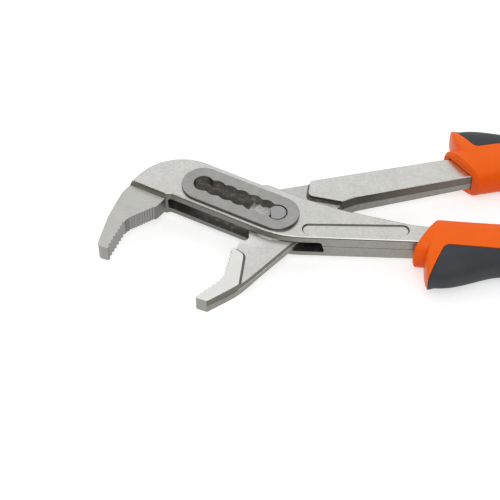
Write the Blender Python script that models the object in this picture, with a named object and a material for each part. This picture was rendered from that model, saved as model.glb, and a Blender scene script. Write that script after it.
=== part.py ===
"""Water pump pliers with a box joint: two forged arms, a keyed pivot pin and two-component grips.

The tool lies flat. X runs along the fixed handle, Y across the jaws, Z along the pivot pin. The origin is
on the pin's axis, at the pin's lower end face. Sizes are in millimetres and angles in degrees.
"""

from math import asin, atan2, ceil, cos, degrees, pi, radians, sin, tan

import bmesh
import bpy
from mathutils import Vector

MM = 0.001

# Pivot pin and its stops
PIN_RADIUS = 4.0
PIN_FLAT = 2.75
PIN_FLAT_ANGLE = 185.3
PIN_GAP = 0.3
PIN_INSET = 0.05
STOP_COUNT = 7
STOP_PITCH = 5.9
SLOT_ANGLE = 28.0
CHANNEL_GAP = 0.125

# Thicknesses through the joint
WEB_THICKNESS = 5.2
SIDE_GAP = 0.3
FIXED_JAW_THICKNESS = 7.8
MOVING_JAW_THICKNESS = 7.0
BOX_THICKNESS = 12.0
PAD_RAISE = 1.4
PAD_RIM = 5.0
FIXED_TAPER = 0.004
SHOULDER_THICKNESS = 10.8
MOVING_TAPER = 0.017
EDGE_RADIUS = 1.1
STEP_FILLET = 0.7
PAD_EDGE = 0.4
PIN_EDGE = 0.4

# Box joint, measured across the line of stops
BOX_LOWER_MARGIN = 1.6
BOX_UPPER_MARGIN = 3.2
BOX_RISE = 1.4
BOX_RISE_AT = -12.5
BOX_RISE_RUN = 2.3
BOX_RISE_RADIUS = 2.5
HANDLE_BEND_AT = 4.4
HANDLE_BEND_RADIUS = 30.0
BOX_STEP_DROP = 1.5
BACK_ANGLE = 51.3
BACK_RADIUS = 23.0
ARCH_RADIUS = 2.5
WINDOW_REACH_LOWER = 11.8
WINDOW_REACH_UPPER = 19.6
WINDOW_KNEE = -4.5
WINDOW_END_LOWER = (16.9, -18.0)
WINDOW_END_UPPER = (31.0, 6.0)
WINDOW_EDGE = 1.0

# Fixed jaw, measured from the first stop: x, y, corner radius
FIXED_RAMP = (-19.7, -10.0, 1.0)
FIXED_RAMP_ANGLE = 52.0
FIXED_NOTCH = (-32.3, -17.6, 0.9)
FIXED_TIP_INNER = (-39.1, -33.6, 1.0)
FIXED_TIP_OUTER = (-43.8, -32.8, 3.6)
FIXED_BACK_LOW = (-40.0, -15.8, 40.0)
FIXED_BACK_HIGH = (-34.6, -1.6, 15.0)

# Fixed handle, measured from the pin: x, y, corner radius
FIXED_HANDLE_TOP = (28.2, 2.85, 60.0)
FIXED_HANDLE_LOW = (0.3, -12.5, 42.0)
PLATE_START = (13.15, -8.2)
PLATE_END = (52.0, -8.8)
PLATE_RADIUS = 3.05
PLATE_DEPTH = 0.6

# Moving arm, measured from the pin: x, y, corner radius
WEB_TOP_LEFT = (-5.0, 16.1, 7.0)
WEB_LEFT = (-12.0, 6.5, 8.0)
WEB_LEFT_LOW = (-11.9, -11.2, 2.0)
WEB_HIP = (-15.8, -12.1, 1.5)
WEB_RIGHT = (4.4, -14.5, 30.0)
MOVING_HANDLE_TOP = (15.0, 20.6, 60.0)
MOVING_HANDLE_LOW = (33.5, 11.0, 20.0)
SHOULDER_TOP = (13.9, 20.7, 2.5)
SHOULDER_LOW = (12.4, 11.15, 3.0)
SHOULDER_FLARE = 22.0
SHOULDER_HEEL = (27.0, 7.9, 3.0)
MOVING_JAW_TOP = (-19.2, -16.9, 1.5)
MOVING_JAW_ROOT = (-17.1, -16.7, 0.0)
MOVING_STEP_TOP = (-13.4, -19.6, 1.5)
MOVING_STEP_LOW = (-15.5, -36.2, 6.0)
MOVING_TIP_OUTER = (-28.9, -45.0, 2.0)
MOVING_TIP_INNER = (-34.5, -42.8, 1.2)
MOVING_NOTCH = (-22.6, -32.4, 0.9)

# Jaw teeth: pitch and depth of each row, and the shape they share
RAMP_TEETH = (1.25, 0.42)
TIP_TEETH = (2.3, 0.75)
UPPER_TEETH = (1.9, 0.6)
TOOTH_ROOT = 0.5
TOOTH_CREST = 0.08
TOOTH_MARGIN = 1.2

# Grips: the axis of each, and the tang inside it
FIXED_GRIP_START = (56.4, -10.2)
FIXED_GRIP_HEADING = -7.0
MOVING_GRIP_START = (74.4, 27.8)
MOVING_GRIP_HEADING = 12.5
GRIP_LENGTH = 121.0
GRIP_TURN = 9.0
GRIP_FIT = 0.3
TANG_SHORT = 21.0
TANG_HALF_END = 3.2
FIXED_TANG_HALF = 4.9
MOVING_TANG_HALF = 6.3

# Grips: reach from the axis to the palm side and to the finger side, and half thickness
COLLAR_OUTER = 10.0
COLLAR_INNER = 9.6
COLLAR_HALF = 8.8
COLLAR_RIM = 1.2
GRIP_SLANT = 0.52
GRIP_SLANT_RUN = 26.0
GRIP_SQUARENESS = 2.7
GUARD_AT = 8.5
GUARD_RISE = 3.0
GUARD_REACH = 23.0
GUARD_LEAN = 3.0
WAIST_AFTER = 28.0
WAIST_REACH = 12.6
SWELL_BACK = 44.0
SWELL_REACH = 13.6
TAIL_BACK = 13.0
TAIL_REACH = 11.0
TAIL_INNER = 8.6
TAIL_HALF = 7.9
END_BACK = 2.5
END_REACH = 9.2
END_INNER = 7.0
END_HALF = 6.3
END_FLAT = 0.6

# Grips: the soft inlay on the palm side
PALM_FROM = 7.5
PALM_SLANT = 6.0
PALM_BACK = 10.0
PALM_DEPTH = 7.2
PALM_CORNER = 3.0
PALM_GAP = 0.3

# Derived sizes
STOP_RADIUS = PIN_RADIUS + PIN_GAP
CHANNEL_HALF = (PIN_RADIUS + PIN_FLAT) / 2 + CHANNEL_GAP
PAD_RADIUS = STOP_RADIUS + PAD_RIM
BOX_LOWER = PAD_RADIUS + BOX_LOWER_MARGIN
BOX_UPPER = PAD_RADIUS + BOX_UPPER_MARGIN
WINDOW_THICKNESS = WEB_THICKNESS + 2 * SIDE_GAP
PAD_HALF = BOX_THICKNESS / 2 + PAD_RAISE
PIN_HALF = PAD_HALF - PIN_INSET
FAR_STOP = -(STOP_COUNT - 1) * STOP_PITCH
TANG_LENGTH = GRIP_LENGTH - TANG_SHORT
THROUGH = 3 * PAD_HALF
HALF_TURN = 180.0
QUARTER_TURN = HALF_TURN / 2
FIXED_GRIP = (FIXED_GRIP_START, FIXED_GRIP_HEADING, -1)
MOVING_GRIP = (MOVING_GRIP_START, MOVING_GRIP_HEADING, 1)

# Fineness of the shapes, and how far cutters reach past what they cut
ARC_STEP = 10.0
SHARP_ANGLE = 50.0
TANG_STEPS = 6
RING_POINTS = 32
RING_STEP = 4.5
WELD = 0.005
CLEAR = 8.0
JAW_CLEAR = 10 * CLEAR
WEB_CLEAR_LOW = -45.0
WEB_CLEAR_LEFT = 150.0

STEEL = ("satin_chrome", (0.62, 0.62, 0.60), 0.32, 1.0)
PIN_STEEL = ("ground_steel", (0.50, 0.50, 0.49), 0.38, 1.0)
ORANGE = ("orange_grip", (0.85, 0.20, 0.03), 0.42, 0.0)
CHARCOAL = ("charcoal_grip", (0.035, 0.037, 0.042), 0.62, 0.0)


def slot(along, across):
    """Return the point at a distance along and across the line of stops, measured from the pin."""
    turn = radians(SLOT_ANGLE)
    return along * cos(turn) + across * sin(turn), across * cos(turn) - along * sin(turn)


def from_far_stop(corner):
    """Return a jaw corner, given from the first stop, in the tool's frame."""
    stop = slot(FAR_STOP, 0.0)
    return stop[0] + corner[0], stop[1] + corner[1], corner[2]


def heading_from(point, angle, distance=1.0):
    """Return the point at a distance from another in a direction."""
    return point[0] + distance * cos(radians(angle)), point[1] + distance * sin(radians(angle))


def crossing(a, b, c, d):
    """Return the point where the line through a and b meets the line through c and d."""
    ux, uy = b[0] - a[0], b[1] - a[1]
    vx, vy = d[0] - c[0], d[1] - c[1]
    t = ((c[0] - a[0]) * vy - (c[1] - a[1]) * vx) / (ux * vy - uy * vx)
    return a[0] + t * ux, a[1] + t * uy


def rounded(corners):
    """Return an outline's points, with an arc at each corner that has a radius."""
    points = []
    count = len(corners)
    for index, corner in enumerate(corners):
        here = Vector(corner[:2])
        radius = corner[2] if len(corner) > 2 else 0.0
        before = Vector(corners[index - 1][:2]) - here
        after = Vector(corners[(index + 1) % count][:2]) - here
        opening = before.angle(after)
        turn = pi - opening
        if radius <= 0.0 or turn < radians(1.0):
            points.append(here)
            continue
        reach = radius * tan(turn / 2)
        start = here + before.normalized() * reach
        end = here + after.normalized() * reach
        middle = (before.normalized() + after.normalized()).normalized()
        centre = here + middle * (radius / sin(opening / 2))
        steps = max(2, ceil(degrees(turn) / ARC_STEP))
        first = atan2(start.y - centre.y, start.x - centre.x)
        sweep = atan2(end.y - centre.y, end.x - centre.x) - first
        sweep = (sweep + pi) % (2 * pi) - pi
        for step in range(steps + 1):
            angle = first + sweep * step / steps
            points.append(Vector((centre.x + radius * cos(angle), centre.y + radius * sin(angle))))
    return points


def circle_points(centre, radius, start, sweep):
    """Return points on an arc, from a start angle through a sweep, both ends included."""
    steps = max(2, ceil(abs(sweep) / ARC_STEP))
    points = []
    for step in range(steps + 1):
        angle = radians(start + sweep * step / steps)
        points.append((centre[0] + radius * cos(angle), centre[1] + radius * sin(angle)))
    return points


def racetrack(start, end, radius):
    """Return the outline of a bar with round ends."""
    heading = degrees(atan2(end[1] - start[1], end[0] - start[0]))
    behind = circle_points(start, radius, heading + QUARTER_TURN, HALF_TURN)
    return behind + circle_points(end, radius, heading - QUARTER_TURN, HALF_TURN)


def new_collection(name):
    """Return a new collection in the scene."""
    collection = bpy.data.collections.new(name)
    bpy.context.scene.collection.children.link(collection)
    return collection


def material(spec):
    """Return the named Principled material, made on first use."""
    name, colour, roughness, metallic = spec
    found = bpy.data.materials.get(name)
    if found:
        return found
    made = bpy.data.materials.new(name)
    made.use_nodes = True
    made.diffuse_color = (*colour, 1.0)
    shader = made.node_tree.nodes["Principled BSDF"]
    shader.inputs["Base Color"].default_value = (*colour, 1.0)
    shader.inputs["Roughness"].default_value = roughness
    shader.inputs["Metallic"].default_value = metallic
    return made


def mesh_object(name, mesh, collection, spec=None):
    """Return a new object for a mesh: a finished part with a material, or a hidden cutter."""
    obj = bpy.data.objects.new(name, mesh)
    obj.location.z = PIN_HALF * MM
    collection.objects.link(obj)
    if spec:
        mesh.materials.append(material(spec))
        mesh.shade_smooth()
        mesh.set_sharp_from_angle(angle=radians(SHARP_ANGLE))
    else:
        obj.hide_render = True
        obj.display_type = "WIRE"
    return obj


def plate(name, outline, half, collection, edge=0.0, grow=0.0, spec=None):
    """Return a flat plate about the tool's mid-plane, with rounded edges and a grown outline."""
    curve = bpy.data.curves.new(name, "CURVE")
    curve.dimensions = "2D"
    curve.fill_mode = "BOTH"
    curve.extrude = (half - edge) * MM
    curve.bevel_depth = edge * MM
    curve.bevel_resolution = 1
    curve.offset = (grow - edge) * MM
    spline = curve.splines.new("POLY")
    spline.points.add(len(outline) - 1)
    for point, place in zip(spline.points, outline):
        point.co = (place[0] * MM, place[1] * MM, 0.0, 1.0)
    spline.use_cyclic_u = True
    drawn = bpy.data.objects.new(name + "_curve", curve)
    collection.objects.link(drawn)
    bpy.context.view_layer.update()
    graph = bpy.context.evaluated_depsgraph_get()
    mesh = bpy.data.meshes.new_from_object(drawn.evaluated_get(graph))
    bpy.data.objects.remove(drawn)
    bpy.data.curves.remove(curve)
    tidy(mesh)
    return mesh_object(name, mesh, collection, spec)


def tidy(mesh):
    """Weld a mesh's loose caps and point its faces out."""
    work = bmesh.new()
    work.from_mesh(mesh)
    bmesh.ops.remove_doubles(work, verts=work.verts, dist=WELD * MM)
    bmesh.ops.recalc_face_normals(work, faces=work.faces)
    work.to_mesh(mesh)
    work.free()


def thin(obj, half, rate):
    """Thin a plate evenly towards +X: half its thickness falls by a rate from its value at the pin."""
    for vertex in obj.data.vertices:
        vertex.co.z *= 1.0 - rate * vertex.co.x / (half * MM)


def lift(obj, height, fall=0.0):
    """Raise a cutter, with a fall along X that keeps it parallel to a thinned face."""
    for vertex in obj.data.vertices:
        vertex.co.z += height * MM - fall * vertex.co.x


def boolean(obj, tool, operation):
    """Add an exact boolean to an object."""
    modifier = obj.modifiers.new(operation.lower() + "_" + tool.name, "BOOLEAN")
    modifier.operation = operation
    modifier.solver = "EXACT"
    modifier.object = tool


def even_shading(obj):
    """Let the large faces set the shading, so that the rounded edges do not darken them."""
    modifier = obj.modifiers.new("even_shading", "WEIGHTED_NORMAL")
    modifier.keep_sharp = True


def cut_faces(obj, name, outline, half, cutters):
    """Cut both faces of a plate down to a half thickness inside an outline, with a filleted foot."""
    for side, label in ((1, "upper"), (-1, "lower")):
        slab = plate(name + "_" + label, outline, THROUGH / 2, cutters, STEP_FILLET)
        lift(slab, side * (half + THROUGH / 2))
        boolean(obj, slab, "DIFFERENCE")


def cut_teeth(obj, name, start, end, teeth, cutters):
    """Cut a row of teeth into a jaw flat. The mouth lies to the left of the line from start to end."""
    pitch, depth = teeth
    a = Vector(start[:2])
    b = Vector(end[:2])
    along = (b - a).normalized()
    out = Vector((-along.y, along.x))
    a += along * TOOTH_MARGIN
    b -= along * TOOTH_MARGIN
    count = max(3, round((b - a).length / pitch))
    step = (b - a) / count
    outline = [a + out * depth]
    for index in range(count):
        outline.append(a + step * index - out * TOOTH_CREST)
        outline.append(a + step * (index + TOOTH_ROOT) - out * depth)
    outline.append(b - out * TOOTH_CREST)
    outline.append(b + out * depth)
    boolean(obj, plate(name, outline, THROUGH / 2, cutters), "DIFFERENCE")


def axis_point(grip, along, aside=0.0):
    """Return the point at a distance along a grip's bent axis and a distance aside, to the left."""
    start, heading, side = grip
    bend = radians(-side * GRIP_TURN) / GRIP_LENGTH
    first = radians(heading)
    here = first + bend * along
    x = start[0] + (sin(here) - sin(first)) / bend - aside * sin(here)
    y = start[1] - (cos(here) - cos(first)) / bend + aside * cos(here)
    return x, y


def tang_points(grip, half_start, begin, end):
    """Return a tang's two long edges: out along the left side and back along the right."""
    left = []
    right = []
    for step in range(TANG_STEPS + 1):
        along = begin + (end - begin) * step / TANG_STEPS
        half = half_start + (TANG_HALF_END - half_start) * along / TANG_LENGTH
        left.append(axis_point(grip, along, half))
        right.append(axis_point(grip, along, -half))
    return left + right[::-1]


def stops_outline():
    """Return the scalloped slot: a round stop at each pitch, joined by the channel."""
    lip = degrees(asin(CHANNEL_HALF / STOP_RADIUS))
    upper = []
    lower = []
    for index in range(STOP_COUNT):
        centre = slot(-index * STOP_PITCH, 0.0)
        first = lip if index else lip - HALF_TURN
        last = HALF_TURN - lip if index < STOP_COUNT - 1 else 2 * HALF_TURN - lip
        upper += circle_points(centre, STOP_RADIUS, first - SLOT_ANGLE, last - first)
        if 0 < index < STOP_COUNT - 1:
            under = HALF_TURN + lip - SLOT_ANGLE
            lower = circle_points(centre, STOP_RADIUS, under, HALF_TURN - 2 * lip) + lower
    return upper + lower


def fixed_outline():
    """Return the fixed arm's outline: arch, mouth, back of the jaw, box, handle and tang."""
    ramp = from_far_stop(FIXED_RAMP)
    back = from_far_stop(FIXED_BACK_HIGH)
    lower = slot(0.0, -BOX_LOWER), slot(FAR_STOP, -BOX_LOWER)
    upper = slot(0.0, BOX_UPPER), slot(FAR_STOP, BOX_UPPER)
    arch = crossing(ramp, heading_from(ramp, FIXED_RAMP_ANGLE), *lower)
    top = crossing(back, heading_from(back, BACK_ANGLE), *upper)
    raised = BOX_UPPER + BOX_RISE
    corners = [
        (*arch, ARCH_RADIUS),
        ramp,
        from_far_stop(FIXED_NOTCH),
        from_far_stop(FIXED_TIP_INNER),
        from_far_stop(FIXED_TIP_OUTER),
        from_far_stop(FIXED_BACK_LOW),
        back,
        (*top, BACK_RADIUS),
        (*slot(BOX_RISE_AT - BOX_RISE_RUN / 2, BOX_UPPER), BOX_RISE_RADIUS),
        (*slot(BOX_RISE_AT + BOX_RISE_RUN / 2, raised), BOX_RISE_RADIUS),
        (*slot(HANDLE_BEND_AT, raised), HANDLE_BEND_RADIUS),
        FIXED_HANDLE_TOP,
    ]
    corners += tang_points(FIXED_GRIP, FIXED_TANG_HALF, 0.0, TANG_LENGTH)
    corners.append(FIXED_HANDLE_LOW)
    return rounded(corners)


def moving_outline():
    """Return the moving arm's outline: handle, tang, web, jaw and the web's left side."""
    corners = [WEB_TOP_LEFT, MOVING_HANDLE_TOP]
    corners += tang_points(MOVING_GRIP, MOVING_TANG_HALF, 0.0, TANG_LENGTH)
    corners += [
        MOVING_HANDLE_LOW,
        SHOULDER_HEEL,
        WEB_RIGHT,
        MOVING_STEP_LOW,
        MOVING_TIP_OUTER,
        MOVING_TIP_INNER,
        MOVING_NOTCH,
        MOVING_JAW_TOP,
        MOVING_JAW_ROOT,
        WEB_HIP,
        WEB_LEFT_LOW,
        WEB_LEFT,
    ]
    return rounded(corners)


def window_outline():
    """Return the window that the moving arm's web passes through, open above and below the box."""
    left = FAR_STOP - WINDOW_REACH_UPPER
    foot = slot(FAR_STOP - WINDOW_REACH_LOWER, -BOX_LOWER)
    knee = slot(left, WINDOW_KNEE)
    return [
        heading_from(foot, degrees(atan2(foot[1] - knee[1], foot[0] - knee[0])), CLEAR),
        knee,
        slot(left, BOX_UPPER + 2 * CLEAR),
        heading_from(WINDOW_END_UPPER, QUARTER_TURN, 3 * CLEAR),
        WINDOW_END_UPPER,
        WINDOW_END_LOWER,
        heading_from(WINDOW_END_LOWER, -QUARTER_TURN, 2 * CLEAR),
        slot(FAR_STOP, -BOX_LOWER - 2 * CLEAR),
    ]


def web_outline():
    """Return the region of the moving arm that is thinned to the web, between shoulder and jaw."""
    stop_face = degrees(atan2(SHOULDER_HEEL[1] - SHOULDER_LOW[1], SHOULDER_HEEL[0] - SHOULDER_LOW[0]))
    step = degrees(atan2(MOVING_STEP_LOW[1] - MOVING_STEP_TOP[1], MOVING_STEP_LOW[0] - MOVING_STEP_TOP[0]))
    root = degrees(atan2(MOVING_JAW_ROOT[1] - MOVING_STEP_TOP[1], MOVING_JAW_ROOT[0] - MOVING_STEP_TOP[0]))
    return rounded([
        heading_from(SHOULDER_TOP, QUARTER_TURN, 4 * CLEAR),
        heading_from(SHOULDER_TOP, SHOULDER_FLARE, 3 * CLEAR),
        SHOULDER_TOP,
        SHOULDER_LOW,
        heading_from(SHOULDER_HEEL, stop_face, 2 * CLEAR),
        heading_from(MOVING_STEP_LOW, WEB_CLEAR_LOW, 6 * CLEAR),
        heading_from(MOVING_STEP_LOW, step, 3 * CLEAR),
        MOVING_STEP_TOP,
        heading_from(MOVING_JAW_ROOT, root, 2 * CLEAR),
        heading_from(WEB_LEFT, WEB_CLEAR_LEFT, 2 * CLEAR),
    ])


def build_fixed_arm(parts, cutters):
    """Build the fixed arm: one forging with jaw, box, raised pads, scalloped slot, handle and tang."""
    half = BOX_THICKNESS / 2
    arm = plate("fixed_arm", fixed_outline(), half, parts, EDGE_RADIUS, spec=STEEL)
    thin(arm, half, FIXED_TAPER)
    pad = racetrack(slot(0.0, 0.0), slot(FAR_STOP, 0.0), PAD_RADIUS)
    boolean(arm, plate("stop_pads", pad, PAD_HALF, cutters, PAD_EDGE), "UNION")
    step = -BOX_LOWER - BOX_STEP_DROP
    jaw = [
        slot(FAR_STOP + 2 * CLEAR, step),
        slot(FAR_STOP - JAW_CLEAR, step),
        slot(FAR_STOP - JAW_CLEAR, step - JAW_CLEAR),
        slot(FAR_STOP + 2 * CLEAR, step - JAW_CLEAR),
    ]
    cut_faces(arm, "fixed_jaw_face", jaw, FIXED_JAW_THICKNESS / 2, cutters)
    window = plate("window", window_outline(), WINDOW_THICKNESS / 2, cutters, WINDOW_EDGE)
    boolean(arm, window, "DIFFERENCE")
    boolean(arm, plate("stops", stops_outline(), THROUGH, cutters), "DIFFERENCE")
    recess = plate("bare_plate", racetrack(PLATE_START, PLATE_END, PLATE_RADIUS), PLATE_DEPTH, cutters)
    lift(recess, half, FIXED_TAPER)
    boolean(arm, recess, "DIFFERENCE")
    notch = from_far_stop(FIXED_NOTCH)
    cut_teeth(arm, "fixed_teeth_ramp", from_far_stop(FIXED_RAMP), notch, RAMP_TEETH, cutters)
    cut_teeth(arm, "fixed_teeth_tip", notch, from_far_stop(FIXED_TIP_INNER), TIP_TEETH, cutters)
    even_shading(arm)


def build_moving_arm(parts, cutters):
    """Build the moving arm: one forging with jaw, web, pin bore, shoulder, handle and tang."""
    half = SHOULDER_THICKNESS / 2
    arm = plate("moving_arm", moving_outline(), half, parts, EDGE_RADIUS, spec=STEEL)
    thin(arm, half, MOVING_TAPER)
    cut_faces(arm, "web_face", web_outline(), WEB_THICKNESS / 2, cutters)
    left = MOVING_TIP_INNER[0] - CLEAR
    low = MOVING_TIP_OUTER[1] - CLEAR
    right = MOVING_STEP_TOP[0] + CLEAR / 2
    high = WEB_HIP[1]
    jaw = [(left, low), (left, high), (right, high), (right, low)]
    cut_faces(arm, "moving_jaw_face", jaw, MOVING_JAW_THICKNESS / 2, cutters)
    bore = circle_points((0.0, 0.0), STOP_RADIUS, 0.0, 2 * HALF_TURN)[:-1]
    boolean(arm, plate("pin_bore", bore, THROUGH, cutters), "DIFFERENCE")
    cut_teeth(arm, "moving_teeth_tip", MOVING_TIP_INNER, MOVING_NOTCH, TIP_TEETH, cutters)
    cut_teeth(arm, "moving_teeth_upper", MOVING_NOTCH, MOVING_JAW_TOP, UPPER_TEETH, cutters)
    even_shading(arm)


def build_pin(parts, cutters):
    """Build the pivot pin: round through the web, with a flat on each end that keys it in a stop."""
    outline = circle_points((0.0, 0.0), PIN_RADIUS, 0.0, 2 * HALF_TURN)[:-1]
    pin = plate("pivot_pin", outline, PIN_HALF, parts, PIN_EDGE, spec=PIN_STEEL)
    near = heading_from((0.0, 0.0), PIN_FLAT_ANGLE, PIN_FLAT)
    far = heading_from((0.0, 0.0), PIN_FLAT_ANGLE, 3 * PIN_RADIUS)
    flat = [
        heading_from(near, PIN_FLAT_ANGLE + QUARTER_TURN, 2 * PIN_RADIUS),
        heading_from(far, PIN_FLAT_ANGLE + QUARTER_TURN, 2 * PIN_RADIUS),
        heading_from(far, PIN_FLAT_ANGLE - QUARTER_TURN, 2 * PIN_RADIUS),
        heading_from(near, PIN_FLAT_ANGLE - QUARTER_TURN, 2 * PIN_RADIUS),
    ]
    for side, label in ((1, "upper"), (-1, "lower")):
        cutter = plate("pin_flat_" + label, flat, THROUGH / 2, cutters)
        lift(cutter, side * (WINDOW_THICKNESS / 2 + THROUGH / 2))
        boolean(pin, cutter, "DIFFERENCE")


def grip_stations():
    """Return the grip's stations: distance along, palm reach, finger reach and half thickness."""
    rim = COLLAR_RIM
    guard_end = GUARD_AT + GUARD_RISE
    key = [
        (0.0, COLLAR_OUTER - rim, COLLAR_INNER - rim, COLLAR_HALF - rim),
        (rim, COLLAR_OUTER, COLLAR_INNER, COLLAR_HALF),
        (GUARD_AT - GUARD_RISE, COLLAR_OUTER, COLLAR_INNER, COLLAR_HALF),
        (GUARD_AT, GUARD_REACH, COLLAR_INNER, COLLAR_HALF),
        (guard_end, GUARD_REACH - rim, COLLAR_INNER, COLLAR_HALF),
        (guard_end + WAIST_AFTER, WAIST_REACH, COLLAR_INNER, COLLAR_HALF),
        (GRIP_LENGTH - SWELL_BACK, SWELL_REACH, COLLAR_INNER, COLLAR_HALF),
        (GRIP_LENGTH - TAIL_BACK, TAIL_REACH, TAIL_INNER, TAIL_HALF),
        (GRIP_LENGTH - END_BACK, END_REACH, END_INNER, END_HALF),
        (GRIP_LENGTH, END_REACH * END_FLAT, END_INNER * END_FLAT, END_HALF * END_FLAT),
    ]
    rings = []
    for before, after in zip(key, key[1:]):
        steps = max(2, ceil((after[0] - before[0]) / RING_STEP))
        for step in range(steps):
            part = step / steps
            ease = part * part * (3 - 2 * part)
            along = before[0] + (after[0] - before[0]) * part
            rings.append((along, *(p + (q - p) * ease for p, q in zip(before[1:], after[1:]))))
    return rings + [key[-1]]


def grip_blank(name, grip, collection, spec=None):
    """Return a grip's whole outer shape, lofted along its bent axis with a slanted front rim."""
    side = grip[2]
    work = bmesh.new()
    rings = []
    for along, outer, inner, thick in grip_stations():
        fade = max(0.0, 1.0 - along / GRIP_SLANT_RUN)
        ring = []
        for step in range(RING_POINTS):
            angle = 2 * pi * step / RING_POINTS
            across = abs(cos(angle)) ** (2 / GRIP_SQUARENESS)
            across *= inner if cos(angle) > 0 else -outer
            height = thick * abs(sin(angle)) ** (2 / GRIP_SQUARENESS)
            height = height if sin(angle) > 0 else -height
            lean = GRIP_SLANT * fade * (max(across, -COLLAR_OUTER - GUARD_LEAN) + COLLAR_OUTER)
            x, y = axis_point(grip, along + lean, -side * across)
            ring.append(work.verts.new((x * MM, y * MM, height * MM)))
        rings.append(ring)
    for before, after in zip(rings, rings[1:]):
        for step in range(RING_POINTS):
            following = (step + 1) % RING_POINTS
            work.faces.new((before[step], before[following], after[following], after[step]))
    work.faces.new(rings[0])
    work.faces.new(rings[-1])
    bmesh.ops.recalc_face_normals(work, faces=work.faces)
    mesh = bpy.data.meshes.new(name)
    work.to_mesh(mesh)
    work.free()
    return mesh_object(name, mesh, collection, spec)


def palm_outline(grip):
    """Return the region of the palm inlay: the grip's outer side, from the guard to near its end."""
    side = grip[2]
    last = GRIP_LENGTH - PALM_BACK
    first = PALM_FROM + PALM_SLANT
    inner = []
    for step in range(TANG_STEPS + 1):
        along = first + (last - first) * step / TANG_STEPS
        inner.append(axis_point(grip, along, side * PALM_DEPTH))
    inner[0] = (*inner[0], PALM_CORNER)
    inner[-1] = (*inner[-1], PALM_CORNER)
    outer = side * GUARD_REACH
    guard = axis_point(grip, PALM_FROM, outer)
    beyond = [axis_point(grip, last, 2 * outer), axis_point(grip, PALM_FROM, 2 * outer)]
    return rounded(inner + beyond + [guard])


def build_grip(name, grip, tang, parts, cutters):
    """Build one handle's grip: the hard sleeve on the tang and the soft inlay on its palm side."""
    tang_half, half, taper = tang
    sleeve = grip_blank(name + "_sleeve", grip, parts, ORANGE)
    bore = tang_points(grip, tang_half, -CLEAR, TANG_LENGTH + GRIP_FIT)
    cavity = plate(name + "_cavity", bore, half + GRIP_FIT, cutters, grow=GRIP_FIT)
    thin(cavity, half + GRIP_FIT, taper)
    boolean(sleeve, cavity, "DIFFERENCE")
    region = palm_outline(grip)
    boolean(sleeve, plate(name + "_pocket", region, THROUGH, cutters, grow=PALM_GAP), "DIFFERENCE")
    inlay = grip_blank(name + "_inlay", grip, parts, CHARCOAL)
    boolean(inlay, plate(name + "_palm", region, THROUGH, cutters), "INTERSECT")


def main():
    """Build the pliers."""
    for obj in list(bpy.data.objects):
        bpy.data.objects.remove(obj)
    parts = new_collection("water_pump_pliers")
    cutters = new_collection("cutters")
    build_fixed_arm(parts, cutters)
    build_moving_arm(parts, cutters)
    build_pin(parts, cutters)
    fixed_tang = FIXED_TANG_HALF, BOX_THICKNESS / 2, FIXED_TAPER
    moving_tang = MOVING_TANG_HALF, SHOULDER_THICKNESS / 2, MOVING_TAPER
    build_grip("fixed_grip", FIXED_GRIP, fixed_tang, parts, cutters)
    build_grip("moving_grip", MOVING_GRIP, moving_tang, parts, cutters)


main()
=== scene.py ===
"""Dress the water pump pliers: forged arms, pivot pin and two-component grips, in a plain studio.

Sizes are in millimetres and angles in degrees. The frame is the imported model's: X runs along the fixed
handle, Y across the jaws and Z along the pivot pin. Heights are measured from the tool's mid-plane.
"""

import logging
from collections.abc import Callable, Mapping, Sequence
from dataclasses import dataclass
from enum import Enum
from math import asin, atan2, ceil, cos, degrees, inf, pi, radians, sin, tan

import bpy
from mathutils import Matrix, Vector


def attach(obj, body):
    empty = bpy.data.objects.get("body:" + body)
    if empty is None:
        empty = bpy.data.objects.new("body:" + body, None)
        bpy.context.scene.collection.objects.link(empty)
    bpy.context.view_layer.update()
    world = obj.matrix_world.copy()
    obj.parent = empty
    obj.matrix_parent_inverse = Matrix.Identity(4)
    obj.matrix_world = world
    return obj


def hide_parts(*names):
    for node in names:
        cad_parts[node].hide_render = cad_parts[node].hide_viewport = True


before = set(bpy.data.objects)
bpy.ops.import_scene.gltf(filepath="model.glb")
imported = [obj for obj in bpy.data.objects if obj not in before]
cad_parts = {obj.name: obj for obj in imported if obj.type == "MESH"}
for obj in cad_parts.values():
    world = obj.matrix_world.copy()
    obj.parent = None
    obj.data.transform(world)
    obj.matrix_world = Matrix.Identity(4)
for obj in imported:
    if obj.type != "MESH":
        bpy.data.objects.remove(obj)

LOG = logging.getLogger("pliers")
MM = 0.001
MID_HEIGHT = 7.35
QUARTER_TURN = 90.0
HALF_TURN = 180.0
FULL_TURN = 360.0
ORIGIN = (0.0, 0.0)
BOTH_FACES = (1.0, -1.0)

Point = tuple[float, float]
Place = tuple[float, float, float]
Row = Sequence[Sequence[float]]
Colour = tuple[float, float, float]
Tones = tuple[tuple[float, float], ...]
FaceTest = Callable[[Vector, Vector], bool]


class Body(Enum):
    """The moving bodies that pieces ride on."""

    FIXED_ARM = "fixed_arm"
    PIVOT_PIN = "pivot_pin"
    MOVING_ARM = "moving_arm"


class Slot(Enum):
    """The record's material slots."""

    SATIN_CHROME = "satin_chrome"
    GROUND_STEEL = "ground_steel"
    ORANGE_GRIP = "orange_grip"
    CHARCOAL_GRIP = "charcoal_grip"


class Cut(Enum):
    """The ways that one solid shapes another."""

    REMOVE = "DIFFERENCE"
    ADD = "UNION"
    KEEP = "INTERSECT"


# Shader sheets


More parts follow.
